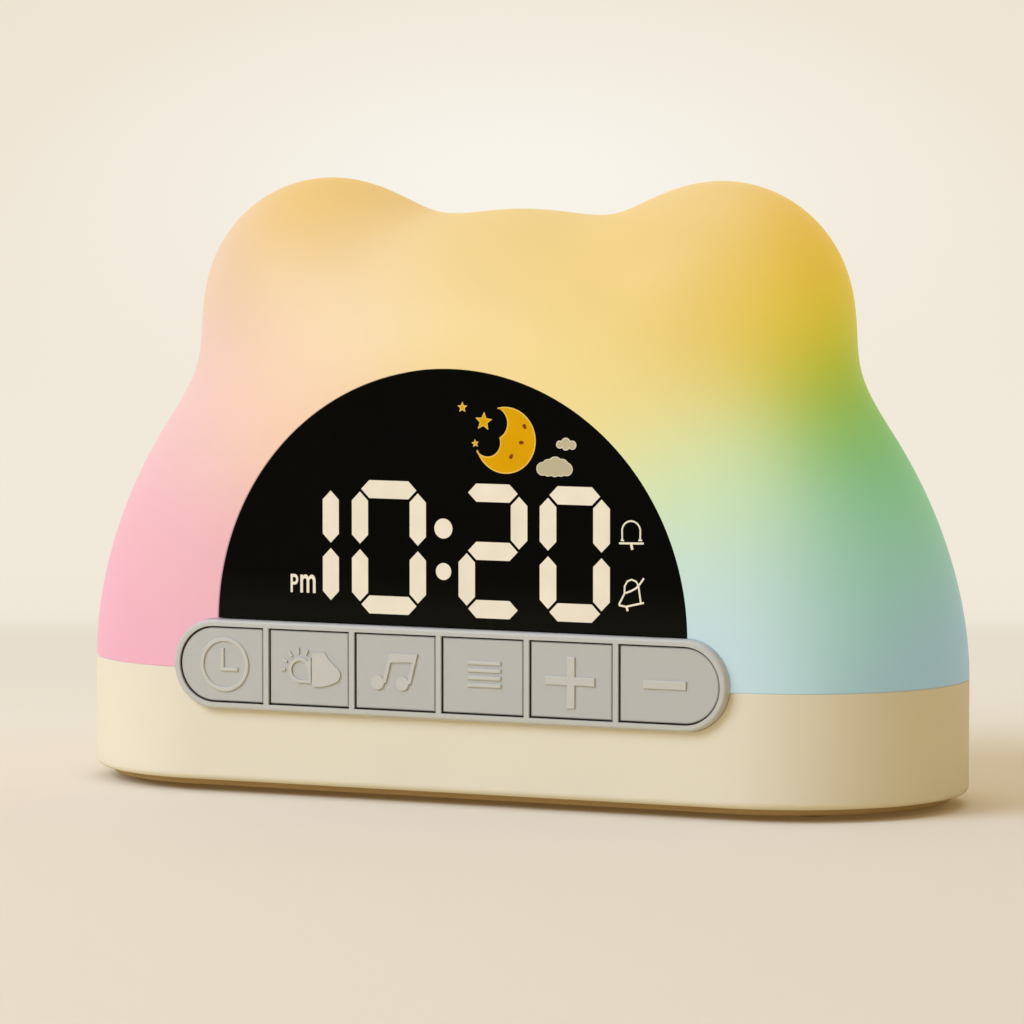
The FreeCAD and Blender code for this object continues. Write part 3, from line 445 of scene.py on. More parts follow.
@dataclass(frozen=True)
class GlowPlastic:
    """Milky shade plastic lit from inside by the colour lamps, the end lamps from further back."""

    name: str
    reach: float = 13.0
    spread: float = 5.0
    glow: float = 0.5
    body: float = 0.46

    def material(self) -> bpy.types.Material:
        """Return the material that blends the colour zones by nearness."""
        shader = Shader(self.name)
        x, y, z, _ = shader.place()
        flat = shader.node("ShaderNodeCombineXYZ", None, {0: x * (y * self.spread + 1.0), 2: z}).outputs[0]
        total: Optional[Term] = None
        colour: Optional[bpy.types.NodeSocket] = None
        for zone in GlowZone:
            across, up = zone.middle()
            ends = {0: flat, 1: (across, 0.0, up)}
            gap = shader.node("ShaderNodeVectorMath", {"operation": "DISTANCE"}, ends)
            steps = Term(shader, gap.outputs["Value"]) / (self.reach * MM)
            weight = shader.maths("EXPONENT", steps * steps * -0.5)
            part = shader.scaled(zone.tint(), weight)
            total = weight if total is None else total + weight
            colour = part if colour is None else shader.summed(colour, part)
        tint = shader.scaled(colour, 1.0 / (total + 1e-7))
        cloud = shader.noise(26.0, 2.0) * 0.04 + 0.98
        glow = shader.scaled(tint, cloud * self.glow)
        body = shader.scaled(tint, cloud * self.body)
        shader.bump(shader.noise(2200.0), 0.08, 0.00005)
        values = {"Base Color": body, "Emission Color": glow, "Emission Strength": 1.0}
        values.update({"Roughness": 0.5, "Specular IOR Level": 0.3})
        return shader.give(values)


class Bench:
    """Modelling steps that every sub-assembly shares."""

    @staticmethod
    def clear() -> None:
        """Leave edit mode and deselect everything."""
        if bpy.context.object is not None and bpy.context.object.mode != "OBJECT":
            bpy.ops.object.mode_set(mode="OBJECT")
        bpy.ops.object.select_all(action="DESELECT")

    @staticmethod
    def hold(piece: bpy.types.Object) -> None:
        """Make one object the only selected and active one."""
        Bench.clear()
        piece.select_set(True)
        bpy.context.view_layer.objects.active = piece

    @staticmethod
    def settle(piece: bpy.types.Object) -> None:
        """Move the object's place and turn into its mesh."""
        Bench.hold(piece)
        bpy.ops.object.transform_apply(location=True, rotation=True, scale=True)

    @staticmethod
    def disc(
        name: str, x: float, z: float, radius: float, y0: float, y1: float, sides: int = 64
    ) -> bpy.types.Object:
        """Add a round slab that lies front to back.

        Args:
            name: The object's name.
            x: Middle across, in mm.
            z: Middle height, in mm.
            radius: Radius in mm.
            y0: Front face in mm.
            y1: Back face in mm.
            sides: Corners round it.

        Returns:
            The slab.
        """
        Bench.clear()
        bpy.ops.mesh.primitive_cylinder_add(
            vertices=sides, radius=radius * MM, depth=(y1 - y0) * MM,
            location=(x * MM, (y0 + y1) / 2 * MM, z * MM), rotation=(math.pi / 2, 0, 0),
        )
        piece = bpy.context.object
        piece.name = name
        Bench.settle(piece)
        return piece

    @staticmethod
    def pull(piece: bpy.types.Object, chosen: Callable[[Vector], bool], shift: Sequence[float]) -> None:
        """Move the corners that a test picks.

        Args:
            piece: The object to shape.
            chosen: Test on a corner's place in metres.
            shift: Move in mm.
        """
        Bench.hold(piece)
        Bench.choose(piece, chosen)
        bpy.ops.object.mode_set(mode="EDIT")
        bpy.ops.transform.translate(value=[part * MM for part in shift])
        bpy.ops.object.mode_set(mode="OBJECT")

    @staticmethod
    def choose(piece: bpy.types.Object, chosen: Callable[[Vector], bool]) -> None:
        """Select the corners that a test picks, and nothing else."""
        mesh = piece.data
        mesh.polygons.foreach_set("select", [False] * len(mesh.polygons))
        mesh.edges.foreach_set("select", [False] * len(mesh.edges))
        mesh.vertices.foreach_set("select", [bool(chosen(v.co)) for v in mesh.vertices])
        bpy.context.tool_settings.mesh_select_mode = (True, False, False)

    @staticmethod
    def cut(piece: bpy.types.Object, tool: bpy.types.Object, operation: str = "DIFFERENCE") -> None:
        """Combine a piece with a tool that is then thrown away.

        Args:
            piece: The object that stays.
            tool: The object that cuts or joins it.
            operation: The Boolean modifier's operation.
        """
        Bench.hold(piece)
        modifier = piece.modifiers.new("combine", "BOOLEAN")
        modifier.operation = operation
        modifier.solver = "EXACT"
        modifier.object = tool
        bpy.ops.object.modifier_apply(modifier=modifier.name)
        bpy.data.objects.remove(tool)

    @staticmethod
    def copy(piece: bpy.types.Object, shift: Sequence[float], turn: float = 0.0) -> bpy.types.Object:
        """Copy a piece with its own mesh.

        Args:
            piece: The object to copy.
            shift: Move in mm after the turn.
            turn: Turn in degrees about the depth axis.

        Returns:
            The copy.
        """
        twin = piece.copy()
        twin.data = piece.data.copy()
        bpy.context.scene.collection.objects.link(twin)
        move = Matrix.Translation([part * MM for part in shift])
        twin.data.transform(move @ Matrix.Rotation(math.radians(turn), 4, "Y"))
        return twin

    @staticmethod
    def merge(name: str, pieces: Iterable[bpy.types.Object]) -> bpy.types.Object:
        """Join objects into one.

        Args:
            name: The joined object's name.
            pieces: The objects.

        Returns:
            The joined object.
        """
        pieces = list(pieces)
        Bench.hold(pieces[0])
        for piece in pieces:
            piece.select_set(True)
        if len(pieces) > 1:
            bpy.ops.object.join()
        pieces[0].name = name
        return pieces[0]

    @staticmethod
    def border(piece: bpy.types.Object, width: float, y: float) -> None:
        """Give a flat mark's front face a border that takes the second material.

        Args:
            piece: The mark.
            width: Width of the border in mm.
            y: Depth of the front face in mm.
        """
        Bench.hold(piece)
        mesh = piece.data
        mesh.vertices.foreach_set("select", [False] * len(mesh.vertices))
        mesh.edges.foreach_set("select", [False] * len(mesh.edges))
        front = [face.normal.y < -0.9 and face.center.y < (y + 0.01) * MM for face in mesh.polygons]
        mesh.polygons.foreach_set("select", front)
        bpy.context.tool_settings.mesh_select_mode = (False, False, True)
        bpy.ops.object.mode_set(mode="EDIT")
        bpy.ops.mesh.dissolve_limited(angle_limit=0.01)
        bpy.ops.mesh.inset(thickness=width * MM, depth=0.0)
        bpy.ops.object.mode_set(mode="OBJECT")
        for face in mesh.polygons:
            inner = face.select and face.normal.y < -0.9
            face.material_index = 0 if inner else 1

    @staticmethod
    def dress(
        piece: bpy.types.Object, materials: Sequence[bpy.types.Material], slot: str, body: str = "clock_body"
    ) -> bpy.types.Object:
        """Finish a new piece and let it ride.

        Args:
            piece: The object.
            materials: Its materials in slot order.
            slot: The record's material slot; not used.
            body: The body that carries it.

        Returns:
            The same object.
        """
        chosen = [face.material_index for face in piece.data.polygons]
        piece.data.materials.clear()
        for material in materials:
            piece.data.materials.append(material)
        if len(materials) > 1:
            piece.data.polygons.foreach_set("material_index", chosen)
        else:
            piece.data.polygons.foreach_set("material_index", [0] * len(chosen))
        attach(piece, body)
        log.info("%s: %d faces on %s", piece.name, len(piece.data.polygons), body)
        return piece

    @staticmethod
    def coat(node: str, material: bpy.types.Material) -> None:
        """Give a CAD node its material in every slot.

        Args:
            node: The node's name.
            material: What it gets.
        """
        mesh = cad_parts[node].data
        if not mesh.materials:
            mesh.materials.append(material)
        for index in range(len(mesh.materials)):
            mesh.materials[index] = material
        log.info("%s: %s", node, material.name)


@dataclass
class NightLightShade:
    """The translucent pillow with two blended ears, as one continuous skin."""

    length: float = 190.0
    end_radius: float = 35.4
    wall: float = 2.2
    seam: float = 25.6
    top: float = 118.7
    power: float = 1.87
    ear_x: float = 44.0
    ear_z: float = 97.9
    ear_radius: float = 26.8
    ear_depth: float = 24.9
    blend: float = 17.6
    middle_y: float = 0.95
    window_radius: float = 52.2
    window_z: float = 35.4
    bar_half: float = 61.45
    bar_radius: float = 9.225
    bar_z: float = 26.6
    columns: int = 220
    rows: int = 116
    flat_rows: int = 8
    cut_ahead: float = 4.0
    cut_depth: float = 10.0

    def outline(self, alpha: np.ndarray) -> np.ndarray:
        """Return the outline's distance from the seam's middle at each angle."""
        across = np.abs(np.cos(alpha)) / (self.length / 2)
        rise = np.maximum(np.sin(alpha), 0.0) / (self.top - self.seam)
        return (across**self.power + rise**self.power) ** (-1 / self.power)

    def level(self, x: np.ndarray, y: np.ndarray, z: np.ndarray) -> np.ndarray:
        """Return how far each point lies outside the skin.

        Args:
            x: Places across, in mm.
            y: Places in depth from the middle, in mm.
            z: Heights in mm.

        Returns:
            The distance, negative inside.
        """
        across = np.abs(x)
        rise = np.maximum(z - self.seam, 0.0)
        past = np.hypot(across, rise) - self.outline(np.arctan2(rise, across)) + self.end_radius
        pillow = np.hypot(np.maximum(past, 0.0), y) - self.end_radius
        flat = (across - self.ear_x) ** 2 + (z - self.ear_z) ** 2
        scaled = np.sqrt(flat / self.ear_radius**2 + (y / self.ear_depth) ** 2)
        slope = np.sqrt(flat / self.ear_radius**4 + y**2 / self.ear_depth**4)
        ear = scaled * (scaled - 1) / np.maximum(slope, 1e-9)
        share = np.maximum(self.blend - np.abs(pillow - ear), 0.0) / self.blend
        return np.minimum(pillow, ear) - share**3 * self.blend / 6

    def skin(self, u: np.ndarray, v: np.ndarray) -> np.ndarray:
        """Place grid corners on the skin.

        Args:
            u: Share of the way round the outline, from the right foot to the left.
            v: Share of the way over it, from the front's middle to the back's.

        Returns:
            One row of x, y and z in mm for each corner.
        """
        alpha = np.pi * u
        flat = self.flat_rows / self.rows
        theta = np.pi * (np.clip((v - flat) / (1 - 2 * flat), 0.0, 1.0) - 0.5)
        inward = np.clip(np.minimum(v, 1 - v) / flat, 0.0, 1.0)
        core = self.outline(alpha) - self.end_radius
        near = np.zeros_like(u)
        far = np.full_like(u, 2.2 * self.end_radius)
        for _ in range(40):
            middle = (near + far) / 2
            reach = core + middle * np.cos(theta)
            rise = self.seam + reach * np.sin(alpha)
            inside = self.level(reach * np.cos(alpha), middle * np.sin(theta), rise) < 0
            near = np.where(inside, middle, near)
            far = np.where(inside, far, middle)
        edge = np.abs(np.abs(theta) - np.pi / 2) < 1e-6
        depth = np.where(edge, self.end_radius * np.sign(theta), far * np.sin(theta))
        reach = np.where(edge, core * inward, core + far * np.cos(theta))
        return np.stack([reach * np.cos(alpha), depth, self.seam + reach * np.sin(alpha)], axis=1)

    def build(self) -> bpy.types.Object:
        """Make the shell, cut its window and its bar pocket, and dress it."""
        Bench.clear()
        bpy.ops.mesh.primitive_grid_add(x_subdivisions=self.columns, y_subdivisions=self.rows, size=1.0)
        shell = bpy.context.object
        shell.name = "glowing_shade_shell"
        mesh = shell.data
        flat = np.empty(len(mesh.vertices) * 3)
        mesh.vertices.foreach_get("co", flat)
        flat = flat.reshape(-1, 3)
        places = self.skin(flat[:, 0] + 0.5, flat[:, 1] + 0.5)
        places[:, 1] += self.middle_y
        mesh.vertices.foreach_set("co", (places * MM).ravel())
        mesh.update()
        Bench.hold(shell)
        bpy.ops.object.mode_set(mode="EDIT")
        bpy.ops.mesh.select_all(action="SELECT")
        bpy.ops.mesh.remove_doubles(threshold=0.00002)
        bpy.ops.mesh.normals_make_consistent(inside=False)
        bpy.ops.object.mode_set(mode="OBJECT")
        wall = shell.modifiers.new("wall", "SOLIDIFY")
        wall.thickness = self.wall * MM
        wall.offset = -1.0
        wall.use_even_offset = True
        bpy.ops.object.modifier_apply(modifier=wall.name)
        front = -self.end_radius + self.middle_y
        ahead, deep = front - self.cut_ahead, front + self.cut_depth
        window = Bench.disc("window_tool", 0, self.window_z, self.window_radius, ahead, deep, 240)
        Bench.cut(shell, window)
        pocket = stadium("pocket_tool", self.bar_half, self.bar_radius, self.bar_z, ahead, deep, 96)
        Bench.cut(shell, pocket)
        Bench.hold(shell)
        bpy.ops.object.shade_smooth_by_angle(angle=math.radians(35))
        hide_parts("night_light_shade")
        return Bench.dress(shell, [GlowPlastic("glowing_shade").material()], "shade_plastic")


def stadium(
    name: str, half: float, radius: float, z: float, y0: float, y1: float, sides: int
) -> bpy.types.Object:
    """Stretch a round slab into a bar with round ends.

    Args:
        name: The object's name.
        half: Half of the bar's length in mm.
        radius: Radius of its ends in mm.
        z: Middle height in mm.
        y0: Front face in mm.
        y1: Back face in mm.
        sides: Corners round the slab before it is stretched.

    Returns:
        The bar.
    """
    bar = Bench.disc(name, 0, z, radius, y0, y1, sides)
    Bench.pull(bar, lambda co: co.x > 1e-6, (half - radius, 0, 0))
    Bench.pull(bar, lambda co: co.x < -1e-6, (radius - half, 0, 0))
    return bar


@dataclass
class WindowMarks:
    """The lit digits and the small printed pictures on the window."""

    face_y: float = -34.25
    proud: float = 0.06
    segment: float = 3.62
    gap: float = 1.1
    level_gap: float = 0.3
    middle_z: float = 51.5
    half_height: float = 11.6
    sunk: float = 0.3
    digits: tuple[tuple[float, float, str], ...] = (
        (-32.17, 5.8, "bc"), (-13.31, 6.48, "abcdef"), (9.82, 5.77, "abged"), (27.76, 5.83, "abcdef"),
    )
    colon_upper: Triple = (-1.13, 55.7, 2.0)
    colon_lower: Triple = (-1.1, 47.1, 1.7)
    moon: Triple = (12.58, 73.68, 6.65)
    moon_bites: tuple[Triple, ...] = ((9.8, 77.05, 3.2), (8.6, 73.2, 2.85), (6.6, 77.2, 4.4))
    craters: tuple[Turned, ...] = (
        (16.75, 76.63, 0.3, 60.0), (16.0, 73.32, 0.25, 0.0), (13.8, 70.4, 0.28, -55.0),
    )
    stars: tuple[Turned, ...] = ((3.1, 80.0, 1.13, 0.0), (7.79, 77.3, 1.93, 4.0), (5.93, 72.9, 0.85, -6.0))
    lower_cloud: tuple[Triple, ...] = (
        (20.75, 68.25, 1.35), (22.0, 68.8, 1.4), (23.5, 69.1, 1.65), (25.0, 68.9, 1.45),
        (25.95, 68.3, 1.35), (24.7, 67.95, 1.15), (23.4, 68.0, 1.3), (21.9, 67.9, 1.15),
    )
    upper_cloud: tuple[Triple, ...] = (
        (24.5, 73.15, 0.8), (25.8, 73.55, 1.0), (27.2, 73.1, 0.9), (25.8, 72.85, 0.85),
    )
    star_waist: float = 0.46
    moon_edge: float = 0.24
    small_edge: float = 0.16
    letter_height: float = 3.7
    letter_foot: float = 41.72

    def front(self) -> float:
        """Return the depth of the marks' front faces in mm."""
        return self.face_y - self.proud

    def hexagon(self, half_long: float) -> bpy.types.Object:
        """Make one pointed segment that lies level, by stretching a six-sided slab.

        Args:
            half_long: Half of its length from point to point, in mm.

        Returns:
            The segment.
        """
        half_wide = self.segment / 2
        piece = Bench.disc("segment", 0, 0, 1.0, self.front(), self.face_y + self.sunk, 6)
        first = max(piece.data.vertices, key=lambda v: v.co.x).co.copy()
        if abs(first.z) > 1e-6:
            piece.data.transform(Matrix.Rotation(math.pi / 6, 4, "Y"))
        Bench.hold(piece)
        piece.scale = (2 * half_wide, 1.0, half_wide / math.sin(math.pi / 3))
        Bench.settle(piece)
        stretch = half_long - 2 * half_wide
        Bench.pull(piece, lambda co: co.x > 1e-6, (stretch, 0, 0))
        Bench.pull(piece, lambda co: co.x < -1e-6, (-stretch, 0, 0))
        return piece

    def digit(self, x: float, half_width: float, names: str) -> list[bpy.types.Object]:
        """Make the lit segments of one digit.

        Args:
            x: The digit's middle in mm.
            half_width: From its middle to the middle of an upright segment.
            names: The segments that are lit, a to g.

        Returns:
            The segments.
        """
        level = self.hexagon(half_width - self.level_gap)
        upright = self.hexagon((self.half_height - self.gap) / 2)
        lit = []
        for name in names:
            if name in "agd":
                z = self.middle_z + {"a": 1, "g": 0, "d": -1}[name] * self.half_height
                lit.append(Bench.copy(level, (x, 0, z)))
            else:
                side = half_width if name in "bc" else -half_width
                lift = self.half_height / 2 if name in "bf" else -self.half_height / 2
                lit.append(Bench.copy(upright, (x + side, 0, self.middle_z + lift), 90.0))
        bpy.data.objects.remove(level)
        bpy.data.objects.remove(upright)
        return lit

    def build_digits(self, lit: bpy.types.Material) -> None:
        """Make the time, 10:20.

        Args:
            lit: The lit material.
        """
        pieces = [segment for digit in self.digits for segment in self.digit(*digit)]
        Bench.dress(Bench.merge("lit_digits", pieces), [lit], "diffuser_cream")
        back = self.face_y + self.sunk
        upper = Bench.disc("lit_colon", *self.colon_upper, self.front(), back)
        lower = Bench.disc("colon_dot", *self.colon_lower, self.front(), back)
        Bench.dress(Bench.merge("lit_colon", [upper, lower]), [lit], "diffuser_cream")

    def build_moon(
        self, fill: bpy.types.Material, edge: bpy.types.Material, brown: bpy.types.Material
    ) -> None:
        """Make the crescent and its three craters.

        Args:
            fill: The moon's yellow.
            edge: Its pale outline.
            brown: The craters' brown.
        """
        back = self.face_y + self.sunk
        moon = Bench.disc("moon_picture", *self.moon, self.front(), back, 96)
        for bite in self.moon_bites:
            Bench.cut(moon, Bench.disc("bite", *bite, self.front() - 1, back + 1, 64))
        Bench.border(moon, self.moon_edge, self.front())
        Bench.dress(moon, [fill, edge], "diffuser_cream")
        pits = []
        for x, z, long, tilt in self.craters:
            pit = Bench.disc("pit", 0, 0, 0.4, self.front() - 0.04, self.front() + 0.1, 12)
            Bench.pull(pit, lambda co: co.x > 0.0003, (long, 0, 0))
            pits.append(Bench.copy(pit, (x, 0, z), tilt))
            bpy.data.objects.remove(pit)
        Bench.dress(Bench.merge("moon_craters", pits), [brown], "diffuser_cream")

    def build_stars(self, fill: bpy.types.Material, edge: bpy.types.Material) -> None:
        """Make the three stars.

        Args:
            fill: Their yellow.
            edge: Their pale outline.
        """
        stars = []
        for x, z, radius, turn in self.stars:
            star = Bench.disc("star", 0, 0, radius, self.front(), self.face_y + self.sunk, 10)
            Bench.hold(star)
            inner = []
            for vertex in star.data.vertices:
                step = round(math.degrees(math.atan2(vertex.co.z, vertex.co.x)) / 36 - 0.5)
                inner.append(step % 2 == 0)
            order = iter(inner)
            Bench.choose(star, lambda co: next(order))
            bpy.ops.object.mode_set(mode="EDIT")
            waist = (self.star_waist, 1.0, self.star_waist)
            bpy.ops.transform.resize(value=waist, center_override=(0, 0, 0))
            bpy.ops.object.mode_set(mode="OBJECT")
            points = max(star.data.vertices, key=lambda v: math.hypot(v.co.x, v.co.z)).co
            upright = math.degrees(math.atan2(points.z, points.x)) - 90
            stars.append(Bench.copy(star, (x, 0, z), upright + turn))
            bpy.data.objects.remove(star)
        star = Bench.merge("star_pictures", stars)
        Bench.border(star, self.small_edge, self.front())
        Bench.dress(star, [fill, edge], "diffuser_cream")

    def build_clouds(self, fill: bpy.types.Material, edge: bpy.types.Material) -> None:
        """Make the two clouds, each a union of rounds.

        Args:
            fill: Their grey.
            edge: Their pale outline.
        """
        back = self.face_y + self.sunk
        clouds = []
        for rounds in (self.lower_cloud, self.upper_cloud):
            cloud = Bench.disc("cloud", *rounds[0], self.front(), back, 40)
            for puff in rounds[1:]:
                Bench.cut(cloud, Bench.disc("puff", *puff, self.front(), back, 40), "UNION")
            clouds.append(cloud)
        cloud = Bench.merge("cloud_pictures", clouds)
        Bench.border(cloud, self.small_edge, self.front())
        Bench.dress(cloud, [fill, edge], "diffuser_cream")

    def stroke(self, points: Sequence[Point], width: float) -> bpy.types.Object:
        """Draw a thin raised line through points.

        Args:
            points: Corners as x and z in mm.
            width: Width in mm.

        Returns:
            The line as a mesh.
        """
        Bench.clear()
        bpy.ops.curve.primitive_nurbs_path_add(radius=1.0)
        line = bpy.context.object
        line.data.splines.clear()
        spline = line.data.splines.new("POLY")
        spline.points.add(len(points) - 1)
        for point, (x, z) in zip(spline.points, points):
            point.co = (x * MM, 0.0, z * MM, 1.0)
        line.data.bevel_depth = width / 2 * MM
        line.data.bevel_resolution = 2
        line.data.use_fill_caps = True
        bpy.ops.object.convert(target="MESH")
        line = bpy.context.object
        flatten = Matrix.Diagonal((1.0, self.proud * 1.4 / (width / 2), 1.0, 1.0))
        line.data.transform(Matrix.Translation((0, self.face_y * MM, 0)) @ flatten)
        return line

    def draw(
        self, name: str, strokes: Sequence[tuple[Sequence[Point], float]], lit: bpy.types.Material
    ) -> None:
        """Make one picture of thin lines.

        Args:
            name: The picture's name.
            strokes: Each line's corners and width in mm.
            lit: The lit material.
        """
        pieces = [self.stroke(points, width) for points, width in strokes]
        Bench.dress(Bench.merge(name, pieces), [lit], "diffuser_cream")

    def build_bells(self, lit: bpy.types.Material) -> None:
        """Make the alarm bell and the crossed-out bell.

        Args:
            lit: The lit material.
        """
        turns = [math.radians(angle) for angle in range(170, 5, -20)]
        arch = [(40.0 + 2.0 * math.cos(turn), 56.5 + 2.0 * math.sin(turn)) for turn in turns]
        self.draw("bell_picture", (
            ([(38.06, 54.75), *arch, (41.94, 54.85)], 0.36),
            ([(37.4, 54.03), (42.7, 54.15)], 0.42),
            ([(37.75, 54.65), (38.45, 54.6)], 0.34),
            ([(41.55, 54.75), (42.35, 54.75)], 0.34),
            ([(40.0, 53.9), (40.25, 52.85)], 0.55),
        ), lit)
        dome = [(37.35, 41.9), (38.55, 44.1), (38.6, 45.6), (39.2, 46.6), (40.1, 46.95)]
        dome += [(41.1, 46.6), (41.6, 45.7), (41.8, 44.3), (42.1, 42.4)]
        self.draw("silent_bell_picture", (
            (dome, 0.38),
            ([(42.75, 47.3), (41.9, 46.15), (41.1, 45.3), (40.0, 44.7), (38.8, 44.25)], 0.4),
            ([(37.35, 41.8), (38.9, 41.55), (41.0, 42.05), (42.75, 42.45)], 0.4),
            ([(39.05, 41.5), (39.25, 40.7)], 0.5),
        ), lit)

    def build_evening_letters(self, lit: bpy.types.Material) -> None:
        """Make the small PM sign.

        Args:
            lit: The lit material.
        """
        letters = []
        for letter, x0, x1 in (("P", -35.5, -33.8), ("m", -33.3, -29.85)):
            Bench.clear()
            bpy.ops.object.text_add()
            text = bpy.context.object
            text.data.body = letter
            text.data.extrude = 0.04
            text.data.offset = 0.014
            bpy.ops.object.convert(target="MESH")
            text = bpy.context.object
            low = [min(v.co[i] for v in text.data.vertices) for i in range(3)]
            high = [max(v.co[i] for v in text.data.vertices) for i in range(3)]
            text.data.transform(Matrix.Translation([-part for part in low]))
            wide, tall, deep = (b - a for a, b in zip(low, high))
            size = ((x1 - x0) / wide, self.letter_height / tall, self.proud * 2 / deep)
            text.data.transform(Matrix.Diagonal([part * MM for part in size] + [1.0]))
            text.data.transform(Matrix.Rotation(math.pi / 2, 4, "X"))
            place = (x0, self.face_y + self.proud, self.letter_foot)
            text.data.transform(Matrix.Translation([part * MM for part in place]))
            letters.append(text)
        Bench.dress(Bench.merge("evening_letters", letters), [lit], "diffuser_cream")

    def build(self) -> None:
        """Make every mark in front of the window."""
        lit = LitMark("lit_segment_light", linear(240, 229, 208), 0.62).material()
        yellow = LitMark("moon_yellow", linear(224, 164, 2), 0.6).material()
        pale = LitMark("picture_edge_light", linear(238, 196, 90), 0.6).material()
        brown = LitMark("crater_brown", linear(132, 66, 6), 0.5).material()
        grey = LitMark("cloud_grey", linear(196, 184, 156), 0.4).material()
        light = LitMark("cloud_edge_light", linear(228, 220, 198), 0.45).material()
        self.build_digits(lit)
        self.build_moon(yellow, pale, brown)
        self.build_stars(yellow, pale)
        self.build_clouds(grey, light)
        self.build_bells(lit)
        self.build_evening_letters(lit)


@dataclass
class BaseAndFeet:
    """The cream base, its cover in a tan-brown that paints the shade under the base, and dark rubber feet.
    """

    cream: Colour = linear(236, 231, 221)
    plinth_shade: Colour = linear(186, 158, 116)
    rubber: Colour = linear(58, 54, 50)

    def dress(self) -> None:
        """Give the outer CAD nodes of the base their materials."""
        Bench.coat("base_housing", MouldedPlastic("cream_base_plastic", self.cream).material())
        # The cover is painted tan-brown to stand for the shade beneath the base's overhang.
        Bench.coat("bottom_cover", MouldedPlastic("cover_painted_shade", self.plinth_shade, 0.6).material())
        Bench.coat("rubber_feet", MouldedPlastic("foot_rubber", self.rubber, 0.8, 1500.0, 0.3).material())


@dataclass
class ButtonBar:
    """The grey bar with its six keys."""

    bezel: Colour = linear(196, 198, 203)
    key: Colour = linear(192, 194, 200)
    sign: Colour = linear(200, 201, 205)

    def dress(self) -> None:
        """Give the bezel and the keys their materials."""
        Bench.coat("button_bezel", KeyPlastic("bezel_grey_plastic", self.bezel, self.bezel).material())
        keys = KeyPlastic("key_grey_plastic", self.key, self.sign).material()
        for name in ("clock", "daynight", "music", "menu", "plus", "minus"):
            Bench.coat("key_" + name, keys)


@dataclass
class Internals:
    """Boards, lamps, loudspeaker and screws inside the case."""

    steel: Colour = linear(190, 190, 188)
    board: Colour = linear(30, 92, 58)
    white: Colour = linear(232, 231, 226)

    def dress(self) -> None:
        """Give every hidden CAD node its material."""
        steel = BareMetal("screw_steel", self.steel).material()
        board = MouldedPlastic("board_green", self.board, 0.5, 900.0, 0.2, 0.08).material()
        white = MouldedPlastic("inner_white_plastic", self.white, 0.5).material()
        lamp = LitMark("lamp_white", linear(250, 246, 232), 0.4).material()
        black = MouldedPlastic("switch_black_plastic", linear(34, 34, 36), 0.45).material()
        chip = MouldedPlastic("chip_black_resin", linear(28, 28, 30), 0.6).material()
        cream = MouldedPlastic("diffuser_milky_plastic", linear(240, 232, 214), 0.6).material()
        paper = MouldedPlastic("cone_paper", linear(52, 50, 48), 0.85, 1200.0, 0.4).material()
        foil = MouldedPlastic("battery_blue_film", linear(70, 96, 140), 0.35).material()
        pressed = BareMetal("pressed_steel", self.steel, 0.4).material()
        groups = {
            "cover_screws deck_screws light_board_screws": steel,
            "display_screws key_board_screws main_board_screws": steel,
            "light_board display_board key_board main_board": board,
            "inner_deck display_light_box": white,
            "colour_leds display_leds": lamp,
            "switch_cans board_connectors": black,
            "board_chips": chip,
            "segment_diffusers icon_diffusers": cream,
            "speaker_cone": paper,
            "speaker_basket speaker_magnet usb_socket": pressed,
            "battery_pack": foil,
            "plunger_clock plunger_daynight plunger_music plunger_menu plunger_plus plunger_minus": black,
        }
        for names, material in groups.items():
            for name in names.split():
                Bench.coat(name, material)


@dataclass(frozen=True)
class Lamp:
    """One square soft lamp: its place and size in metres, its power in watts and its tint."""

    name: str
    place: Triple
    size: float
    power: float
    tint: Colour


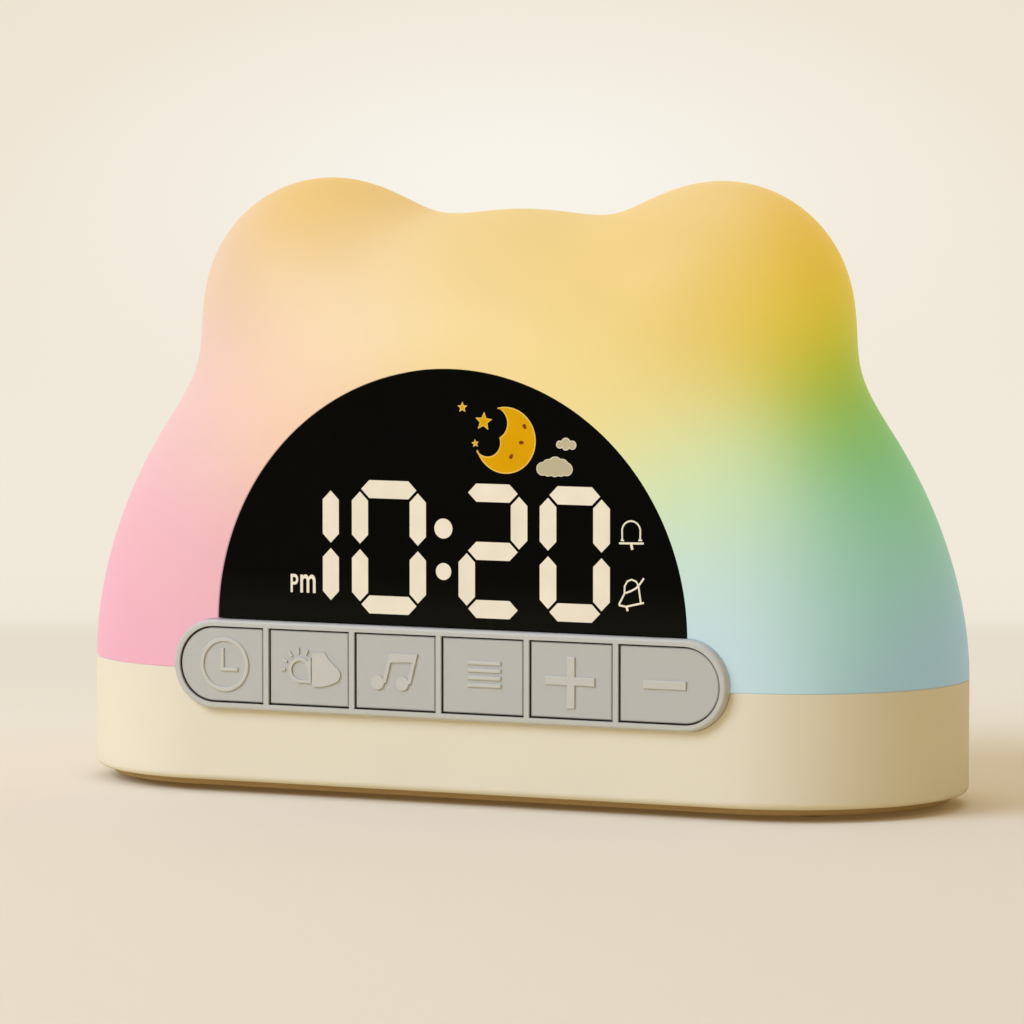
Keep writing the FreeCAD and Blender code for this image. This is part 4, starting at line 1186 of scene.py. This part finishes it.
@dataclass
class Studio:
    """Pale floor and backdrop, soft lamps and the camera."""

    azimuth: float = 25.57
    elevation: float = 4.14
    distance: float = 1271.8
    target: Triple = (-2.82, 0.95, 56.65)
    lens: float = 218.53
    floor_back: float = 430.0
    sheet_half: float = 3000.0
    painted_floor_bounce: Colour = linear(196, 152, 90)
    painted_bounce_share: float = 0.2
    bounce_paper: Colour = linear(234, 216, 170)
    paper_dark: Colour = linear(238, 237, 237)
    paper_light: Colour = linear(242, 241, 241)
    floor_tint: Colour = linear(231, 222, 205)
    horizon_tint: Colour = linear(240, 232, 217)
    wall_low: Colour = linear(241, 233, 218)
    wall_high: Colour = linear(237, 226, 208)
    painted_light_pool_tint: Colour = linear(248, 244, 234)
    pool_z: float = 115.0
    pool_half_width: float = 140.0
    pool_half_height: float = 60.0
    aim_z: float = 60.0
    air: Colour = (1.0, 0.83, 0.51)
    air_strength: float = 0.34
    lamps: tuple[Lamp, ...] = (
        Lamp("key_lamp", (-0.9, -1.3, 1.1), 1.2, 25.8, (0.80, 0.89, 1.0)),
        Lamp("fill_lamp", (1.3, -1.2, 0.7), 1.4, 2.0, (1.0, 0.73, 0.38)),
        Lamp("top_lamp", (0.0, 0.2, 1.6), 1.4, 8.0, (1.0, 0.98, 0.95)),
    )

    def build(self) -> None:
        """Make the stage, the lamps, the world and the camera."""
        self.build_stage()
        self.build_lamps()
        self.build_world()
        self.build_camera()

    def build_stage(self) -> None:
        """Make one sheet that runs from the floor up the wall in a soft curve."""
        Bench.clear()
        bpy.ops.mesh.primitive_plane_add(size=2 * self.sheet_half * MM, location=(0, 0, 0))
        sheet = bpy.context.object
        sheet.name = "studio_sheet"
        Bench.pull(sheet, lambda co: co.y > 0, (0, self.floor_back - self.sheet_half, 0))
        Bench.choose(sheet, lambda co: co.y > 0)
        mesh = sheet.data
        for edge in mesh.edges:
            edge.select = all(mesh.vertices[i].select for i in edge.vertices)
        bpy.context.tool_settings.mesh_select_mode = (False, True, False)
        bpy.ops.object.mode_set(mode="EDIT")
        rise = (0, 0, self.sheet_half * MM)
        bpy.ops.mesh.extrude_region_move(TRANSFORM_OT_translate={"value": rise})
        bpy.ops.object.mode_set(mode="OBJECT")
        for edge in mesh.edges:
            ends = [mesh.vertices[i].co for i in edge.vertices]
            edge.select = all(abs(co.z) < 1e-6 and co.y > 0 for co in ends)
        bpy.ops.object.mode_set(mode="EDIT")
        bpy.ops.mesh.bevel(offset=0.02, segments=10)
        bpy.ops.object.mode_set(mode="OBJECT")
        bpy.ops.object.shade_smooth()
        sheet.data.transform(Matrix.Rotation(math.radians(self.azimuth), 4, "Z"))
        sheet.data.materials.append(self.sheet_material())

    def sheet_material(self) -> bpy.types.Material:
        """Return warm paper that a camera sees, with a painted pool of light on the wall behind the clock
        and painted warm shade on the floor near it.
        """
        shader = Shader("studio_paper")
        x, y, z, _ = shader.place()
        turn = math.radians(self.azimuth)
        across = (x * math.cos(turn) + y * math.sin(turn)) / (self.pool_half_width * MM)
        lift = (z - self.pool_z * MM) / (self.pool_half_height * MM)
        # Painted light: a pale pool on the wall behind the clock.
        pool = shader.maths("EXPONENT", (across * across + lift * lift) * -1.5)
        wall = shader.mix(shader.smooth(z, 0.02, 0.15), self.wall_low, self.wall_high)
        wall = shader.mix(pool, wall, self.painted_light_pool_tint)
        far = y * math.cos(turn) - x * math.sin(turn)
        rise = shader.smooth(far, 0.06, 0.28)
        # Painted shade: near the clock the floor shows a warm tan glow that stands for its warm contact
        # shadow.
        floor = shader.mix(shader.smooth(far, 0.02, 0.14), self.painted_floor_bounce, self.floor_tint)
        floor = shader.mix(shader.smooth(far, 0.32, 0.43), floor, self.horizon_tint)
        grain = shader.noise(900.0)
        shader.bump(grain, 0.03, 0.0001)
        path = shader.node("ShaderNodeLightPath")
        camera, glossy = (Term(shader, path.outputs[name]) for name in ("Is Camera Ray", "Is Glossy Ray"))
        seen = shader.maths("MAXIMUM", camera, glossy)
        paper = shader.mix(grain, self.paper_dark, self.paper_light)
        paper = shader.mix(seen, self.bounce_paper, paper)
        shader.give({"Base Color": paper, "Roughness": 0.75, "Specular IOR Level": 0.2})
        seen_colour = shader.mix(shader.smooth(z, 0.0, 0.015), floor, wall)
        glow = shader.node("ShaderNodeEmission", None, {"Color": seen_colour, "Strength": 1.0})
        # Camera rays see at least a fifth of the painted glow all over the floor, which warms its shadows.
        share = seen * (rise * (1 - self.painted_bounce_share) + self.painted_bounce_share)
        inputs = {0: share, 1: shader.surface.outputs[0], 2: glow.outputs[0]}
        mixed = shader.node("ShaderNodeMixShader", None, inputs)
        shader.feed(shader.output.inputs["Surface"], mixed.outputs[0])
        return shader.material

    def build_lamps(self) -> None:
        """Add the wide key lamp, the fill and the top lamp."""
        aim = Vector((0.0, 0.0, self.aim_z * MM))
        for plan in self.lamps:
            Bench.clear()
            bpy.ops.object.light_add(type="AREA", location=plan.place)
            lamp = bpy.context.object
            lamp.name = plan.name
            lamp.data.size = plan.size
            lamp.data.energy = plan.power
            lamp.data.color = plan.tint
            lamp.rotation_euler = (aim - Vector(plan.place)).to_track_quat("-Z", "Y").to_euler()

    def build_world(self) -> None:
        """Give the surroundings an even warm light."""
        world = bpy.data.worlds.new("studio_air")
        bpy.context.scene.world = world
        world.use_nodes = True
        background = world.node_tree.nodes["Background"]
        background.inputs["Color"].default_value = (*self.air, 1.0)
        background.inputs["Strength"].default_value = self.air_strength

    def build_camera(self) -> None:
        """Add the camera where the picture was taken from."""
        turn = math.radians(self.azimuth)
        tilt = math.radians(self.elevation)
        back = Vector((math.sin(turn) * math.cos(tilt), -math.cos(turn) * math.cos(tilt), math.sin(tilt)))
        place = (Vector(self.target) + back * self.distance) * MM
        Bench.clear()
        bpy.ops.object.camera_add(location=place, rotation=(-back).to_track_quat("-Z", "Y").to_euler())
        camera = bpy.context.object
        camera.name = "studio_camera"
        camera.data.lens = self.lens
        camera.data.sensor_width = 36.0
        camera.data.clip_end = 50.0
        bpy.context.scene.camera = camera


def main() -> None:
    """Build and dress the clock and its studio."""
    logging.basicConfig(level=logging.INFO, format="%(message)s")
    Studio().build()
    NightLightShade().build()
    BaseAndFeet().dress()
    ButtonBar().dress()
    # The window's second colour is its painted reflection near the foot.
    lens = SmokedLens("smoked_window", linear(7, 7, 6), linear(23, 23, 18))
    Bench.coat("display_lens", lens.material())
    WindowMarks().build()
    Internals().dress()
    bpy.context.scene.view_settings.view_transform = "Standard"


if __name__ == "__main__":
    main()
